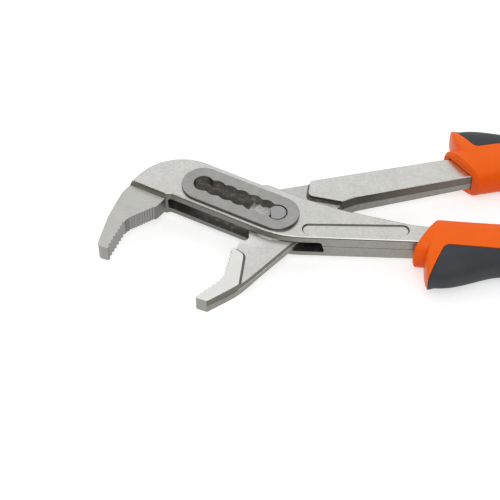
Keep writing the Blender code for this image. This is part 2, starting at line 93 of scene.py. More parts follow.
class Value:
    """A shader socket that takes part in arithmetic."""

    def __init__(self, sheet: "NodeSheet", socket: bpy.types.NodeSocket) -> None:
        """Wrap one output socket of a sheet."""
        self.sheet = sheet
        self.socket = socket

    def __add__(self, other: "Value | float") -> "Value":
        """Add."""
        return self.sheet.sum_of("ADD", self, other)

    def __radd__(self, other: float) -> "Value":
        """Add to a number."""
        return self.sheet.sum_of("ADD", other, self)

    def __sub__(self, other: "Value | float") -> "Value":
        """Subtract."""
        return self.sheet.sum_of("SUBTRACT", self, other)

    def __mul__(self, other: "Value | float") -> "Value":
        """Multiply."""
        return self.sheet.sum_of("MULTIPLY", self, other)


Feed = Value | float | Sequence[float]


class NodeSheet:
    """A sheet of shader nodes.

    A Mix node's sockets go by number, because its names repeat.
    """

    MIX_FACTOR, MIX_FIRST, MIX_SECOND = 0, 6, 7
    MIX_COLOUR = 2

    def __init__(self, tree: bpy.types.NodeTree) -> None:
        """Work on a node tree."""
        self.tree = tree

    def node(
        self, kind: str, feeds: Mapping[str | int, Feed], output: str | int = 0, **settings: object,
    ) -> Value:
        """Add any node.

        Args:
            kind: The node's type.
            feeds: Values or links for its sockets, by name or number.
            output: The name or number of the output that is wanted.
            **settings: The node's own settings, set before its sockets.

        Returns:
            The wanted output.
        """
        made = self.tree.nodes.new(kind)
        for key, setting in settings.items():
            setattr(made, key, setting)
        for key, feed in feeds.items():
            self.feed(made.inputs[key], feed)
        return Value(self, made.outputs[output])

    def feed(self, socket: bpy.types.NodeSocket, feed: Feed) -> None:
        """Set or link one input socket.

        Args:
            socket: The input socket.
            feed: Its value, or the output that is linked to it.
        """
        if isinstance(feed, Value):
            self.tree.links.new(feed.socket, socket)
        else:
            socket.default_value = feed

    def sum_of(self, operation: str, first: Value | float, second: Value | float) -> Value:
        """Add one Math node."""
        return self.node("ShaderNodeMath", {0: first, 1: second}, operation=operation)

    def blend(self, factor: Feed, first: Feed, second: Feed, how: str = "MIX") -> Value:
        """Return two colours mixed."""
        feeds = {self.MIX_FACTOR: factor, self.MIX_FIRST: first, self.MIX_SECOND: second}
        return self.node("ShaderNodeMix", feeds, self.MIX_COLOUR, data_type="RGBA", blend_type=how)

    def ramp(self, factor: Value, stops: Tones) -> Value:
        """Map a value to a grey.

        Args:
            factor: The value, from 0 to 1.
            stops: Place and grey of each stop, in order.

        Returns:
            The grey.
        """
        made = self.tree.nodes.new("ShaderNodeValToRGB")
        elements = made.color_ramp.elements
        while len(elements) < len(stops):
            elements.new(1.0)
        for element, (place, grey) in zip(elements, stops):
            element.position = place
            element.color = (grey, grey, grey, 1.0)
        self.feed(made.inputs["Fac"], factor)
        return Value(self, made.outputs["Color"])


@dataclass(frozen=True)
class Speckle:
    """A soft noise: features to the millimetre, octaves of detail and the strength of the fine ones."""

    scale: float
    detail: float = 3.0
    roughness: float = 0.5


def tinted(colour: Colour, factor: float) -> tuple[float, float, float, float]:
    """Return a colour made lighter or darker, with full alpha."""
    return colour[0] * factor, colour[1] * factor, colour[2] * factor, 1.0


def uneven(level: Value | float, spread: float, pattern: Value) -> Value:
    """Return a level that a pattern varies over a spread."""
    return level - spread / 2 + pattern * spread


class ShaderSheet(NodeSheet):
    """One material's node sheet, with its Principled shader."""

    def __init__(self, name: str) -> None:
        """Start a material with a bare Principled shader.

        Args:
            name: The material's name.
        """
        self.material = bpy.data.materials.new(name)
        self.material.use_nodes = True
        super().__init__(self.material.node_tree)
        self.shader = self.tree.nodes["Principled BSDF"]

    def place(self, scale: Place = (1.0, 1.0, 1.0), turn: float = 0.0) -> Value:
        """Return the surface's own place in millimetres.

        Args:
            scale: Stretch of the pattern along each axis.
            turn: Turn of the pattern about Z.

        Returns:
            The mapped place.
        """
        object_place = self.node("ShaderNodeTexCoord", {}, "Object")
        stretch = tuple(factor / MM for factor in scale)
        feeds = {"Vector": object_place, "Rotation": (0.0, 0.0, radians(-turn)), "Scale": stretch}
        return self.node("ShaderNodeMapping", feeds, vector_type="POINT")

    def noise(self, place: Value, speckle: Speckle) -> Value:
        """Return soft noise about one half.

        Args:
            place: Where it is read.
            speckle: Its size and detail.

        Returns:
            The noise.
        """
        feeds: dict[str | int, Feed] = {"Vector": place, "Scale": speckle.scale}
        feeds |= {"Detail": speckle.detail, "Roughness": speckle.roughness}
        return self.node("ShaderNodeTexNoise", feeds)

    def mottle(self, pattern: Value, colour: Colour, shade: float) -> Value:
        """Return a colour that a pattern makes darker or lighter by up to a share."""
        return self.blend(pattern, tinted(colour, 1.0 - shade), tinted(colour, 1.0 + shade))

    def bump(self, height: Value, depth: float, under: Value | None = None) -> Value:
        """Return the normal over a relief.

        Args:
            height: The relief, from 0 to 1.
            depth: Its depth in millimetres.
            under: A normal that it is laid over.

        Returns:
            The bumped normal.
        """
        feeds: dict[str | int, Feed] = {"Strength": 1.0, "Distance": depth * MM, "Height": height}
        if under:
            feeds["Normal"] = under
        return self.node("ShaderNodeBump", feeds)

    def dress(self, **feeds: Feed) -> bpy.types.Material:
        """Feed the shader's sockets.

        Args:
            **feeds: Values or links by socket name, with underscores for spaces.

        Returns:
            The finished material.
        """
        for key, feed in feeds.items():
            self.feed(self.shader.inputs[key.replace("_", " ")], feed)
        return self.material


# Finishes


@dataclass(frozen=True)
class BlastedChrome:
    """Forged steel that was blasted and chrome plated: fine pits and grain over soft unevenness.

    The painted shade tones are factors of the colour at places along one axis of the tool.
    """

    name: str = "blasted_chrome"
    colour: Colour = (0.69, 0.686, 0.655)
    roughness: float = 0.31
    unevenness: float = 0.16
    shade: float = 0.14
    contrast: Tones = ((0.36, 0.0), (0.64, 1.0))
    grain: Speckle = Speckle(3.6, 3.0, 0.6)
    grain_depth: float = 0.008
    grain_share: float = 0.2
    fleck: Speckle = Speckle(0.8, 4.0, 0.65)
    fleck_depth: float = 0.035
    fleck_share: float = 0.55
    swell: Speckle = Speckle(0.12, 4.0, 0.6)
    swell_depth: float = 0.16
    swell_share: float = 0.25
    painted_shade_tones: Tones = ()
    tone_axis: str = "X"

    def with_painted_shade(self, sheet: ShaderSheet, colour: Value, place: Value) -> Value:
        """Return the colour with its painted shade.

        Args:
            sheet: The material's sheet.
            colour: The colour without them.
            place: The surface's place.

        Returns:
            The colour with its painted shade.
        """
        if not self.painted_shade_tones:
            return colour
        first, last = self.painted_shade_tones[0][0], self.painted_shade_tones[-1][0]
        where = sheet.node("ShaderNodeSeparateXYZ", {"Vector": place}, self.tone_axis)
        part = (where - first) * (1.0 / (last - first))
        stops = tuple(((at - first) / (last - first), tone) for at, tone in self.painted_shade_tones)
        return sheet.blend(1.0, colour, sheet.ramp(part, stops), "MULTIPLY")

    def make(self) -> bpy.types.Material:
        """Make the finish.

        Returns:
            The material.
        """
        sheet = ShaderSheet(self.name)
        place = sheet.place()
        swell = sheet.noise(place, self.swell)
        grain = sheet.noise(place, self.grain)
        fleck = sheet.noise(place, self.fleck)
        mixed = swell * self.swell_share + fleck * self.fleck_share + grain * self.grain_share
        colour = sheet.mottle(sheet.ramp(mixed, self.contrast), self.colour, self.shade)
        waves = sheet.bump(swell, self.swell_depth)
        pits = sheet.bump(fleck, self.fleck_depth, waves)
        normal = sheet.bump(grain, self.grain_depth, pits)
        rough = uneven(self.roughness, self.unevenness, fleck)
        with_painted_shade = self.with_painted_shade(sheet, colour, place)
        return sheet.dress(Base_Color=with_painted_shade, Metallic=1.0, Roughness=rough, Normal=normal)


@dataclass(frozen=True)
class BrushedSteel:
    """Machined steel with fine lines along one direction."""

    name: str
    colour: Colour
    roughness: float
    turn: float = 0.0
    unevenness: float = 0.14
    shade: float = 0.12
    line: float = 5.0
    line_detail: float = 4.0
    line_roughness: float = 0.65
    line_depth: float = 0.006
    line_share: float = 0.6
    stretch: float = 0.03
    cloud: Speckle = Speckle(0.16, 3.0, 0.55)

    def make(self) -> bpy.types.Material:
        """Make the finish.

        Returns:
            The material.
        """
        sheet = ShaderSheet(self.name)
        speckle = Speckle(self.line, self.line_detail, self.line_roughness)
        lines = sheet.noise(sheet.place((self.stretch, 1.0, 1.0), self.turn), speckle)
        cloud = sheet.noise(sheet.place(), self.cloud)
        tone = lines * self.line_share + cloud * (1.0 - self.line_share)
        colour = sheet.mottle(tone, self.colour, self.shade)
        rough = uneven(self.roughness, self.unevenness, lines)
        normal = sheet.bump(lines, self.line_depth)
        return sheet.dress(Base_Color=colour, Metallic=1.0, Roughness=rough, Normal=normal)


@dataclass(frozen=True)
class ScaleAndPaintedShade:
    """The oiled forging scale that is left inside the window and the stops, made dark as painted shade."""

    name: str = "dark_scale_painted_shade"
    colour: Colour = (0.18, 0.168, 0.15)
    worn: Colour = (0.44, 0.42, 0.385)
    wear: Tones = ((0.52, 0.0), (0.74, 1.0))
    roughness: float = 0.5
    unevenness: float = 0.2
    patch: Speckle = Speckle(0.45, 5.0, 0.65)
    grain: Speckle = Speckle(2.2, 3.0, 0.6)
    grain_depth: float = 0.02

    def make(self) -> bpy.types.Material:
        """Make the finish.

        Returns:
            The material.
        """
        sheet = ShaderSheet(self.name)
        place = sheet.place()
        patch = sheet.noise(place, self.patch)
        rub = sheet.ramp(patch, self.wear)
        colour = sheet.blend(rub, tinted(self.colour, 1.0), tinted(self.worn, 1.0))
        rough = uneven(self.roughness, self.unevenness, patch)
        normal = sheet.bump(sheet.noise(place, self.grain), self.grain_depth)
        return sheet.dress(Base_Color=colour, Metallic=1.0, Roughness=rough, Normal=normal)


@dataclass(frozen=True)
class TurnedSteel:
    """The pin's steel: fine rings from facing its ends."""

    name: str = "turned_pin"
    colour: Colour = (0.40, 0.402, 0.396)
    roughness: float = 0.36
    unevenness: float = 0.12
    shade: float = 0.14
    ring: Speckle = Speckle(4.0)
    ring_depth: float = 0.008
    ring_share: float = 0.5
    cloud: Speckle = Speckle(0.5)

    def make(self) -> bpy.types.Material:
        """Make the finish.

        Returns:
            The material.
        """
        sheet = ShaderSheet(self.name)
        place = sheet.place((1.0, 1.0, 0.0))
        reach = sheet.node("ShaderNodeVectorMath", {0: place}, "Value", operation="LENGTH")
        feeds = {"W": reach, "Scale": self.ring.scale, "Detail": self.ring.detail}
        rings = sheet.node("ShaderNodeTexNoise", feeds, noise_dimensions="1D")
        cloud = sheet.noise(sheet.place(), self.cloud)
        tone = rings * self.ring_share + cloud * (1.0 - self.ring_share)
        colour = sheet.mottle(tone, self.colour, self.shade)
        rough = uneven(self.roughness, self.unevenness, rings)
        normal = sheet.bump(rings, self.ring_depth)
        return sheet.dress(Base_Color=colour, Metallic=1.0, Roughness=rough, Normal=normal)


@dataclass(frozen=True)
class MouldedShell:
    """The hard orange shell of a grip: an even colour with a fine spark-eroded texture."""

    name: str = "orange_shell"
    colour: Colour = (1.0, 0.14, 0.004)
    roughness: float = 0.36
    shade: float = 0.07
    cloud: Speckle = Speckle(0.07)
    cloud_spread: float = 0.06
    grain: Speckle = Speckle(2.6, 2.0, 0.55)
    grain_spread: float = 0.04
    grain_depth: float = 0.012
    gloss: float = 0.18
    scatter: float = 0.05
    scatter_reach: Place = (2.0, 0.6, 0.2)

    def make(self) -> bpy.types.Material:
        """Make the finish.

        Returns:
            The material.
        """
        sheet = ShaderSheet(self.name)
        place = sheet.place()
        cloud = sheet.noise(place, self.cloud)
        grain = sheet.noise(place, self.grain)
        colour = sheet.mottle(cloud, self.colour, self.shade)
        rough = uneven(uneven(self.roughness, self.cloud_spread, cloud), self.grain_spread, grain)
        normal = sheet.bump(grain, self.grain_depth)
        radius = tuple(reach * MM for reach in self.scatter_reach)
        return sheet.dress(
            Base_Color=colour, Roughness=rough, Normal=normal, Specular_IOR_Level=self.gloss,
            Subsurface_Weight=self.scatter, Subsurface_Radius=radius,
        )


@dataclass(frozen=True)
class SoftPalm:
    """The soft charcoal elastomer of a grip's palm side: matt, with a fine pebbled skin and rub marks."""

    name: str = "charcoal_palm"
    colour: Colour = (0.028, 0.030, 0.036)
    dark: float = 0.75
    rubbed: float = 1.5
    roughness: float = 0.62
    polish: float = 0.16
    pebble: float = 1.7
    pebble_depth: float = 0.03
    rub: Speckle = Speckle(0.11, 5.0, 0.65)
    sheen: float = 0.05

    def make(self) -> bpy.types.Material:
        """Make the finish.

        Returns:
            The material.
        """
        sheet = ShaderSheet(self.name)
        place = sheet.place()
        feeds = {"Vector": place, "Scale": self.pebble}
        pebble = sheet.node("ShaderNodeTexVoronoi", feeds, feature="SMOOTH_F1")
        rub = sheet.noise(place, self.rub)
        colour = sheet.blend(rub, tinted(self.colour, self.dark), tinted(self.colour, self.rubbed))
        rough = uneven(self.roughness, -self.polish, rub)
        normal = sheet.bump(pebble, self.pebble_depth)
        return sheet.dress(Base_Color=colour, Roughness=rough, Normal=normal, Sheen_Weight=self.sheen)


class Finishes:
    """The finishes of the whole tool, each made once.

    The painted shade tones run along X, apart from the web's, which run along Y.
    """

    # Painted shade as factors of a colour along the tool: walls darker towards the jaw, a darker heel, a
    # dimmed front rim near the box, a stop foot shaded towards its right, a web darker at its ends.
    BOX_PAINTED_SHADE = ((-32.0, 0.62), (-4.0, 0.66), (26.0, 1.0))
    HEEL_PAINTED_SHADE = ((-40.0, 1.0), (8.0, 1.0), (22.0, 0.55), (38.0, 0.55), (70.0, 1.0))
    RIM_PAINTED_SHADE = ((-36.0, 0.95), (8.0, 0.95), (30.0, 1.0))
    FOOT_PAINTED_SHADE = ((13.0, 1.0), (18.0, 0.75), (25.0, 0.3))
    WEB_PAINTED_SHADE = ((-16.0, 0.76), (-9.0, 1.0), (9.0, 1.0), (13.0, 0.66))
    WALL_ROUGHNESS = 0.40
    WALL_SWELL = 0.08

    @classmethod
    def forged(cls, name: str, colour: Colour, painted_shade_tones: Tones = ()) -> bpy.types.Material:
        """Return a finish of the forged walls, which are rougher and more even than the faces; their
        colours are painted shade, and painted light at the stop's foot.
        """
        wall = BlastedChrome(name, colour, cls.WALL_ROUGHNESS, swell_depth=cls.WALL_SWELL, painted_shade_tones=painted_shade_tones)
        return wall.make()

    def __init__(self) -> None:
        """Make every finish."""
        self.chrome = BlastedChrome().make()
        # Painted shade: the forged walls are darkened, and more so towards the jaw.
        self.side = self.forged("forged_side_painted_shade", (0.312, 0.304, 0.278), self.BOX_PAINTED_SHADE)
        # Painted shade on the tip's front.
        self.tip_painted_shade = self.forged("tip_facet_painted_shade", (0.31, 0.305, 0.29))
        # Painted shade on the moving arm's walls: deeper above the parting line and near the heel than
        # below it.
        self.upper_side_painted_shade = self.forged("upper_side_painted_shade", (0.16, 0.148, 0.13), self.HEEL_PAINTED_SHADE)
        self.lower_side_painted_shade = self.forged("lower_side_painted_shade", (0.272, 0.263, 0.24))
        # Painted shade on the walls of the jaw's step and of the web's step.
        self.step = self.forged("jaw_step_painted_shade", (0.25, 0.238, 0.20))
        self.wall = self.forged("web_step_painted_shade", (0.19, 0.183, 0.155))
        # Painted light from the web on the stop's foot, fading to painted shade towards the heel.
        self.foot_light_and_shade = self.forged("web_step_foot_painted_light", (0.60, 0.594, 0.565), self.FOOT_PAINTED_SHADE)
        # Painted shade on the far rims.
        self.rim = self.forged("far_rim_painted_shade", (0.24, 0.236, 0.215))
        # The front rim's highlight, dimmed by painted shade near the box.
        self.front_rim_painted_shade = BlastedChrome("front_rim_painted_shade", roughness=0.36, painted_shade_tones=self.RIM_PAINTED_SHADE).make()
        # Painted shade in the parting grooves, on the pads' and the recess's walls and on the pin's rim
        # and flats.
        self.dark = self.forged("painted_shade", (0.12, 0.116, 0.105))
        # The web's near-white colour is painted light, with painted shade at its ends.
        self.web = BlastedChrome(
            "web_steel_painted_light", (0.93, 0.92, 0.89), grain_depth=0.006, swell_depth=0.06,
            painted_shade_tones=self.WEB_PAINTED_SHADE, tone_axis="Y",
        ).make()
        # The land's near-white matt colour is painted light on the web seen through the slot.
        self.land = BlastedChrome(
            "bore_land_painted_light", (0.92, 0.915, 0.89), roughness=0.95, grain_depth=0.006, swell_depth=0.0,
        ).make()
        self.pad = BrushedSteel(
            "brushed_pad", (0.40, 0.397, 0.378), roughness=0.36, turn=70.0,
            line=1.5, stretch=0.22, line_depth=0.012, shade=0.45,
        ).make()
        self.jaw = BrushedSteel(
            "ground_jaw", (0.59, 0.586, 0.556), roughness=0.30, turn=24.0,
            line=1.6, stretch=0.08, line_depth=0.010, shade=0.25,
        ).make()
        self.bright_jaw = BrushedSteel(
            "bright_jaw", (0.86, 0.855, 0.83), roughness=0.30, turn=24.0, line=2.0, stretch=0.06,
        ).make()
        # Painted shade: the teeth are darkened like the forged walls.
        self.teeth = BrushedSteel("milled_teeth_painted_shade", (0.285, 0.28, 0.266), roughness=0.34, line=3.0).make()
        # Painted shade inside the window, the stops and the bore, over oiled scale.
        self.scale = ScaleAndPaintedShade().make()
        self.pin = TurnedSteel().make()
        self.shell = MouldedShell().make()
        self.palm = SoftPalm().make()


# Drawing


@dataclass(frozen=True)
class Corner:
    """A corner of a flat outline: its place, its radius, and whether the forged wall leans there."""

    x: float
    y: float
    radius: float = 0.0
    leans: bool = True

    @property
    def at(self) -> Point:
        """The corner's place."""
        return self.x, self.y


@dataclass(frozen=True)
class EdgePoint:
    """A point of an outline: its place, how far it can move in, and whether the wall leans there."""

    x: float
    y: float
    limit: float = inf
    leans: bool = True


def stepped(start: Point, angle: float, distance: float) -> Point:
    """Return the point at a distance from another in a direction."""
    return start[0] + distance * cos(radians(angle)), start[1] + distance * sin(radians(angle))


def heading(start: Point, end: Point) -> float:
    """Return the direction from one point to another."""
    return degrees(atan2(end[1] - start[1], end[0] - start[0]))


def crossing(first: Point, first_angle: float, second: Point, second_angle: float) -> Point:
    """Return where two lines meet.

    Args:
        first: A point on the first line.
        first_angle: The first line's direction.
        second: A point on the second line.
        second_angle: The second line's direction.

    Returns:
        The meeting point.
    """
    ux, uy = cos(radians(first_angle)), sin(radians(first_angle))
    vx, vy = cos(radians(second_angle)), sin(radians(second_angle))
    reach = ((second[0] - first[0]) * vy - (second[1] - first[1]) * vx) / (ux * vy - uy * vx)
    return first[0] + reach * ux, first[1] + reach * uy


class Outline:
    """A closed flat outline that can be drawn again further in or out."""

    ARC_STEP = 6.0
    LEAST_TURN = 1.0
    LEAST_SPREAD = 0.5
    ROUND_LIMIT = 0.9

    def __init__(self, points: Sequence[EdgePoint]) -> None:
        """Keep the points, anticlockwise."""
        self.points = list(points) if self.area(points) > 0 else list(reversed(points))

    @staticmethod
    def area(points: "Sequence[Corner] | Sequence[EdgePoint]") -> float:
        """Return twice the area inside some points, positive if they run anticlockwise."""
        return sum(a.x * b.y - b.x * a.y for a, b in zip(points, [*points[1:], points[0]]))

    @classmethod
    def arc(cls, centre: Point, radius: float, start: float, sweep: float) -> list[Point]:
        """Return points on an arc that sweeps from a start angle, both ends included."""
        steps = max(2, ceil(abs(sweep) / cls.ARC_STEP))
        return [stepped(centre, start + sweep * step / steps, radius) for step in range(steps + 1)]

    @classmethod
    def through(cls, places: Sequence[Point]) -> "Outline":
        """Return an outline through plain points."""
        return cls([EdgePoint(x, y) for x, y in places])

    @classmethod
    def rounded(cls, corners: Sequence[Corner]) -> "Outline":
        """Return an outline with an arc at each corner that has a radius.

        Args:
            corners: The corners, anticlockwise or clockwise.

        Returns:
            The outline.
        """
        area = cls.area(corners)
        points: list[EdgePoint] = []
        for index, corner in enumerate(corners):
            here = Vector(corner.at)
            before = (Vector(corners[index - 1].at) - here).normalized()
            after = (Vector(corners[(index + 1) % len(corners)].at) - here).normalized()
            opening = before.angle(after)
            turn = pi - opening
            if corner.radius <= 0.0 or turn < radians(cls.LEAST_TURN):
                points.append(EdgePoint(corner.x, corner.y, inf, corner.leans))
                continue
            bulges = (before.y * after.x - before.x * after.y) * area > 0
            limit = cls.ROUND_LIMIT * corner.radius if bulges else inf
            reach = corner.radius * tan(turn / 2)
            centre = here + (before + after).normalized() * (corner.radius / sin(opening / 2))
            first = heading(centre, here + before * reach)
            sweep = heading(centre, here + after * reach) - first
            sweep = (sweep + HALF_TURN) % FULL_TURN - HALF_TURN
            for x, y in cls.arc((centre.x, centre.y), corner.radius, first, sweep):
                points.append(EdgePoint(x, y, limit, corner.leans))
        return cls(points)

    @classmethod
    def racetrack(cls, start: Point, end: Point, radius: float) -> "Outline":
        """Return the outline of a bar with round ends.

        Args:
            start: The centre of one end.
            end: The centre of the other.
            radius: The radius of both.

        Returns:
            The outline.
        """
        along = heading(start, end)
        places = cls.arc(start, radius, along + QUARTER_TURN, HALF_TURN)
        places += cls.arc(end, radius, along - QUARTER_TURN, HALF_TURN)
        return cls([EdgePoint(x, y, cls.ROUND_LIMIT * radius) for x, y in places])

    @classmethod
    def circle(cls, radius: float) -> "Outline":
        """Return a circle about the pin's axis."""
        return cls.through(cls.arc(ORIGIN, radius, 0.0, FULL_TURN)[:-1])

    def inset(self, depth: float, lean: float = 0.0) -> list[Point]:
        """Return the outline's points moved in.

        Args:
            depth: How far every point moves in. A negative depth moves it out.
            lean: How much further it moves where the wall leans.

        Returns:
            The moved points.
        """
        moved = []
        count = len(self.points)
        for index, point in enumerate(self.points):
            here = Vector((point.x, point.y))
            last, following = self.points[index - 1], self.points[(index + 1) % count]
            along_in = (here - Vector((last.x, last.y))).normalized()
            along_out = (Vector((following.x, following.y)) - here).normalized()
            mitre = Vector((-along_in.y - along_out.y, along_in.x + along_out.x)).normalized()
            spread = max(self.LEAST_SPREAD, mitre.x * -along_in.y + mitre.y * along_in.x)
            reach = min(depth + (lean if point.leans else 0.0), point.limit)
            moved.append((point.x + mitre.x * reach / spread, point.y + mitre.y * reach / spread))
        return moved


@dataclass(frozen=True)
class Level:
    """One level of a plate: its height, how far its outline moves in, and how much further it leans."""

    height: float
    inset: float = 0.0
    lean: float = 0.0


# Hand work


class Bench:
    """The hand work that every piece is shaped with."""

    ROUND_STEPS = 4
    MERGE = 0.002
    FLATNESS = 0.2
    SMOOTH = 32.0

    @staticmethod
    def pick(obj: bpy.types.Object) -> None:
        """Select one object alone and make it active.

        Args:
            obj: The object.
        """
        bpy.ops.object.select_all(action="DESELECT")
        obj.select_set(True)
        bpy.context.view_layer.objects.active = obj

    @classmethod
    def loft(cls, name: str, rows: Sequence[Row], finish: bpy.types.Material) -> bpy.types.Object:
        """Raise a closed solid through rows of points, from a circle that is extruded row by row.

        Args:
            name: The solid's name.
            rows: The rows, each with the same number of points in the same order.
            finish: The solid's material.

        Returns:
            The solid.
        """
        count = len(rows[0])
        bpy.ops.object.select_all(action="DESELECT")
        bpy.ops.mesh.primitive_circle_add(vertices=count, radius=1.0, fill_type="NGON")
        obj = bpy.context.object
        obj.name = obj.data.name = name
        bpy.ops.object.mode_set(mode="EDIT")
        bpy.ops.mesh.select_all(action="SELECT")
        for _ in rows[1:]:
            bpy.ops.mesh.extrude_region_move(TRANSFORM_OT_translate={"value": (0.0, 0.0, 1.0)})
        bpy.ops.object.mode_set(mode="OBJECT")
        for vertex in obj.data.vertices:
            step = round(atan2(-vertex.co.x, vertex.co.y) / (2 * pi) * count) % count
            x, y, z = rows[round(vertex.co.z)][step]
            vertex.co = x * MM, y * MM, (z + MID_HEIGHT) * MM
        obj.data.materials.append(finish)
        cls.face_out(obj)
        return obj

    @classmethod
    def plate(
        cls, name: str, outline: Outline, levels: Sequence[Level], finish: bpy.types.Material,
        fall: float = 0.0,
    ) -> bpy.types.Object:
        """Raise a flat solid from an outline.

        Args:
            name: The solid's name.
            outline: Its outline.
            levels: Its levels, from one face to the other.
            finish: Its material.
            fall: How far each face comes nearer the mid-plane for each millimetre along X.

        Returns:
            The solid.
        """
        top = max(abs(level.height) for level in levels)
        rows = []
        for level in levels:
            share = fall * level.height / top
            places = outline.inset(level.inset, level.lean)
            rows.append([(x, y, level.height - share * x) for x, y in places])
        return cls.loft(name, rows, finish)

    @staticmethod
    def slab(half: float, inset: float = 0.0) -> list[Level]:
        """Return the levels of a plate with sharp edges."""
        return [Level(-half, inset), Level(half, inset)]

    @classmethod
    def rounding(cls, half: float, edge: float, lean: float = 0.0) -> list[Level]:
        """Return the levels of a plate with rounded edges.

        Args:
            half: Half its thickness.
            edge: The radius of its edges.
            lean: How far its walls lean in from the mid-plane to each face.

        Returns:
            The levels, from the lower face up.
        """
        upper = []
        for step in range(cls.ROUND_STEPS + 1):
            angle = pi / 2 * step / cls.ROUND_STEPS
            upper.append(Level(half - edge * (1 - sin(angle)), edge * (1 - cos(angle)), lean))
        lower = [Level(-level.height, level.inset, level.lean) for level in reversed(upper)]
        return lower + upper

    @classmethod
    def parted(cls, levels: Sequence[Level], height: float, depth: float) -> list[Level]:
        """Return the levels of a forging with a groove round its leaning walls.

        Args:
            levels: The levels without it.
            height: Where the groove lies.
            depth: How deep it is, and half how wide.

        Returns:
            All the levels, from the lower face up.
        """
        below = [level for level in levels if level.height < height]
        above = [level for level in levels if level.height > height]
        return [*below, Level(height - depth), Level(height, 0.0, depth), Level(height + depth), *above]

    @staticmethod
    def paint(obj: bpy.types.Object, finish: bpy.types.Material, where: FaceTest) -> None:
        """Give some faces of a solid a finish of their own.

        Args:
            obj: The solid.
            finish: The faces' finish.
            where: Tells them by a face's normal and its centre, in millimetres from the mid-plane.
        """
        obj.data.materials.append(finish)
        rise = Vector((0.0, 0.0, MID_HEIGHT))
        for face in obj.data.polygons:
            if where(face.normal, face.center / MM - rise):
                face.material_index = len(obj.data.materials) - 1

    @classmethod
    def paint_walls(cls, obj: bpy.types.Object, finish: bpy.types.Material, rise: float) -> None:
        """Give a solid's walls, whose normals rise or fall by less than a share, their own finish."""
        cls.paint(obj, finish, lambda normal, centre: abs(normal.z) < rise)

    @classmethod
    def soften(cls, obj: bpy.types.Object, edges: Sequence[int], width: float, segments: int) -> None:
        """Round some edges of a solid.

        Args:
            obj: The solid.
            edges: The numbers of the edges.
            width: The width of the rounding.
            segments: Its segments.
        """
        cls.pick(obj)
        bpy.ops.object.mode_set(mode="EDIT")
        bpy.ops.mesh.select_mode(type="EDGE")
        bpy.ops.mesh.select_all(action="DESELECT")
        bpy.ops.object.mode_set(mode="OBJECT")
        for number in edges:
            obj.data.edges[number].select = True
        bpy.ops.object.mode_set(mode="EDIT")
        bpy.ops.mesh.bevel(offset=width * MM, segments=segments, affect="EDGES", clamp_overlap=True)
        bpy.ops.mesh.select_mode(type="VERT")
        bpy.ops.object.mode_set(mode="OBJECT")

    @classmethod
    def face_out(cls, obj: bpy.types.Object) -> None:
        """Merge an object's doubles, point its faces outwards and split those that aren't flat.

        Args:
            obj: The object.
        """
        cls.pick(obj)
        bpy.ops.object.mode_set(mode="EDIT")
        bpy.ops.mesh.select_all(action="SELECT")
        bpy.ops.mesh.remove_doubles(threshold=cls.MERGE * MM)
        bpy.ops.mesh.normals_make_consistent(inside=False)
        bpy.ops.mesh.vert_connect_nonplanar(angle_limit=radians(cls.FLATNESS))
        bpy.ops.object.mode_set(mode="OBJECT")

    @classmethod
    def apply(cls, obj: bpy.types.Object, kind: str, **settings: object) -> None:
        """Add a modifier and apply it.

        Args:
            obj: The object.
            kind: The modifier's type.
            **settings: The modifier's settings.
        """
        cls.pick(obj)
        bpy.ops.object.modifier_add(type=kind)
        modifier = obj.modifiers[-1]
        for key, setting in settings.items():
            setattr(modifier, key, setting)
        bpy.ops.object.modifier_apply(modifier=modifier.name)

    @classmethod
    def combine(cls, obj: bpy.types.Object, tool: bpy.types.Object, how: Cut) -> None:
        """Shape one solid with another, which is then used up.

        Args:
            obj: The solid that is shaped.
            tool: The solid that shapes it, and whose finish its faces keep.
            how: The way it is shaped.
        """
        settings = {"operation": how.value, "object": tool}
        cls.apply(obj, "BOOLEAN", solver="EXACT", material_mode="TRANSFER", **settings)
        bpy.data.objects.remove(tool)

    @classmethod
    def carve(
        cls, obj: bpy.types.Object, outline: Outline, levels: Sequence[Level],
        finish: bpy.types.Material, fall: float = 0.0,
    ) -> None:
        """Cut a plate's shape out of a solid."""
        cls.combine(obj, cls.plate("cutter", outline, levels, finish, fall), Cut.REMOVE)

    @classmethod
    def complete(cls, obj: bpy.types.Object, body: Body, node: str, slot: Slot) -> None:
        """Finish a piece's shading and hang it on its body.

        Args:
            obj: The piece.
            body: The body that it rides on.
            node: The solid that it stands for.
            slot: The piece's material slot; not used.
        """
        cls.face_out(obj)
        bpy.ops.object.shade_smooth_by_angle(angle=radians(cls.SMOOTH))
        cls.apply(obj, "WEIGHTED_NORMAL", keep_sharp=True)
        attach(obj, body.value)
        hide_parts(node)
        LOG.info("%s: %d faces", obj.name, len(obj.data.polygons))


# The tool

# How far a face's normal rises, from 0 to 1, at most on a forged wall, on a cut wall and on a rim
WALL_RISE = 0.4
CUT_WALL = 0.9
FLAT_RISE = 0.97
# How far a face's normal looks along Y, at least, on a rim at the back and on one at the front
FAR_LOOK = 0.25
FRONT_LOOK = -0.2


def on_far_rim(normal: Vector, centre: Vector) -> bool:
    """Tell whether a face is part of the rounded rim at an arm's back, which gets painted shade."""
    return normal.y > FAR_LOOK and WALL_RISE < abs(normal.z) < FLAT_RISE


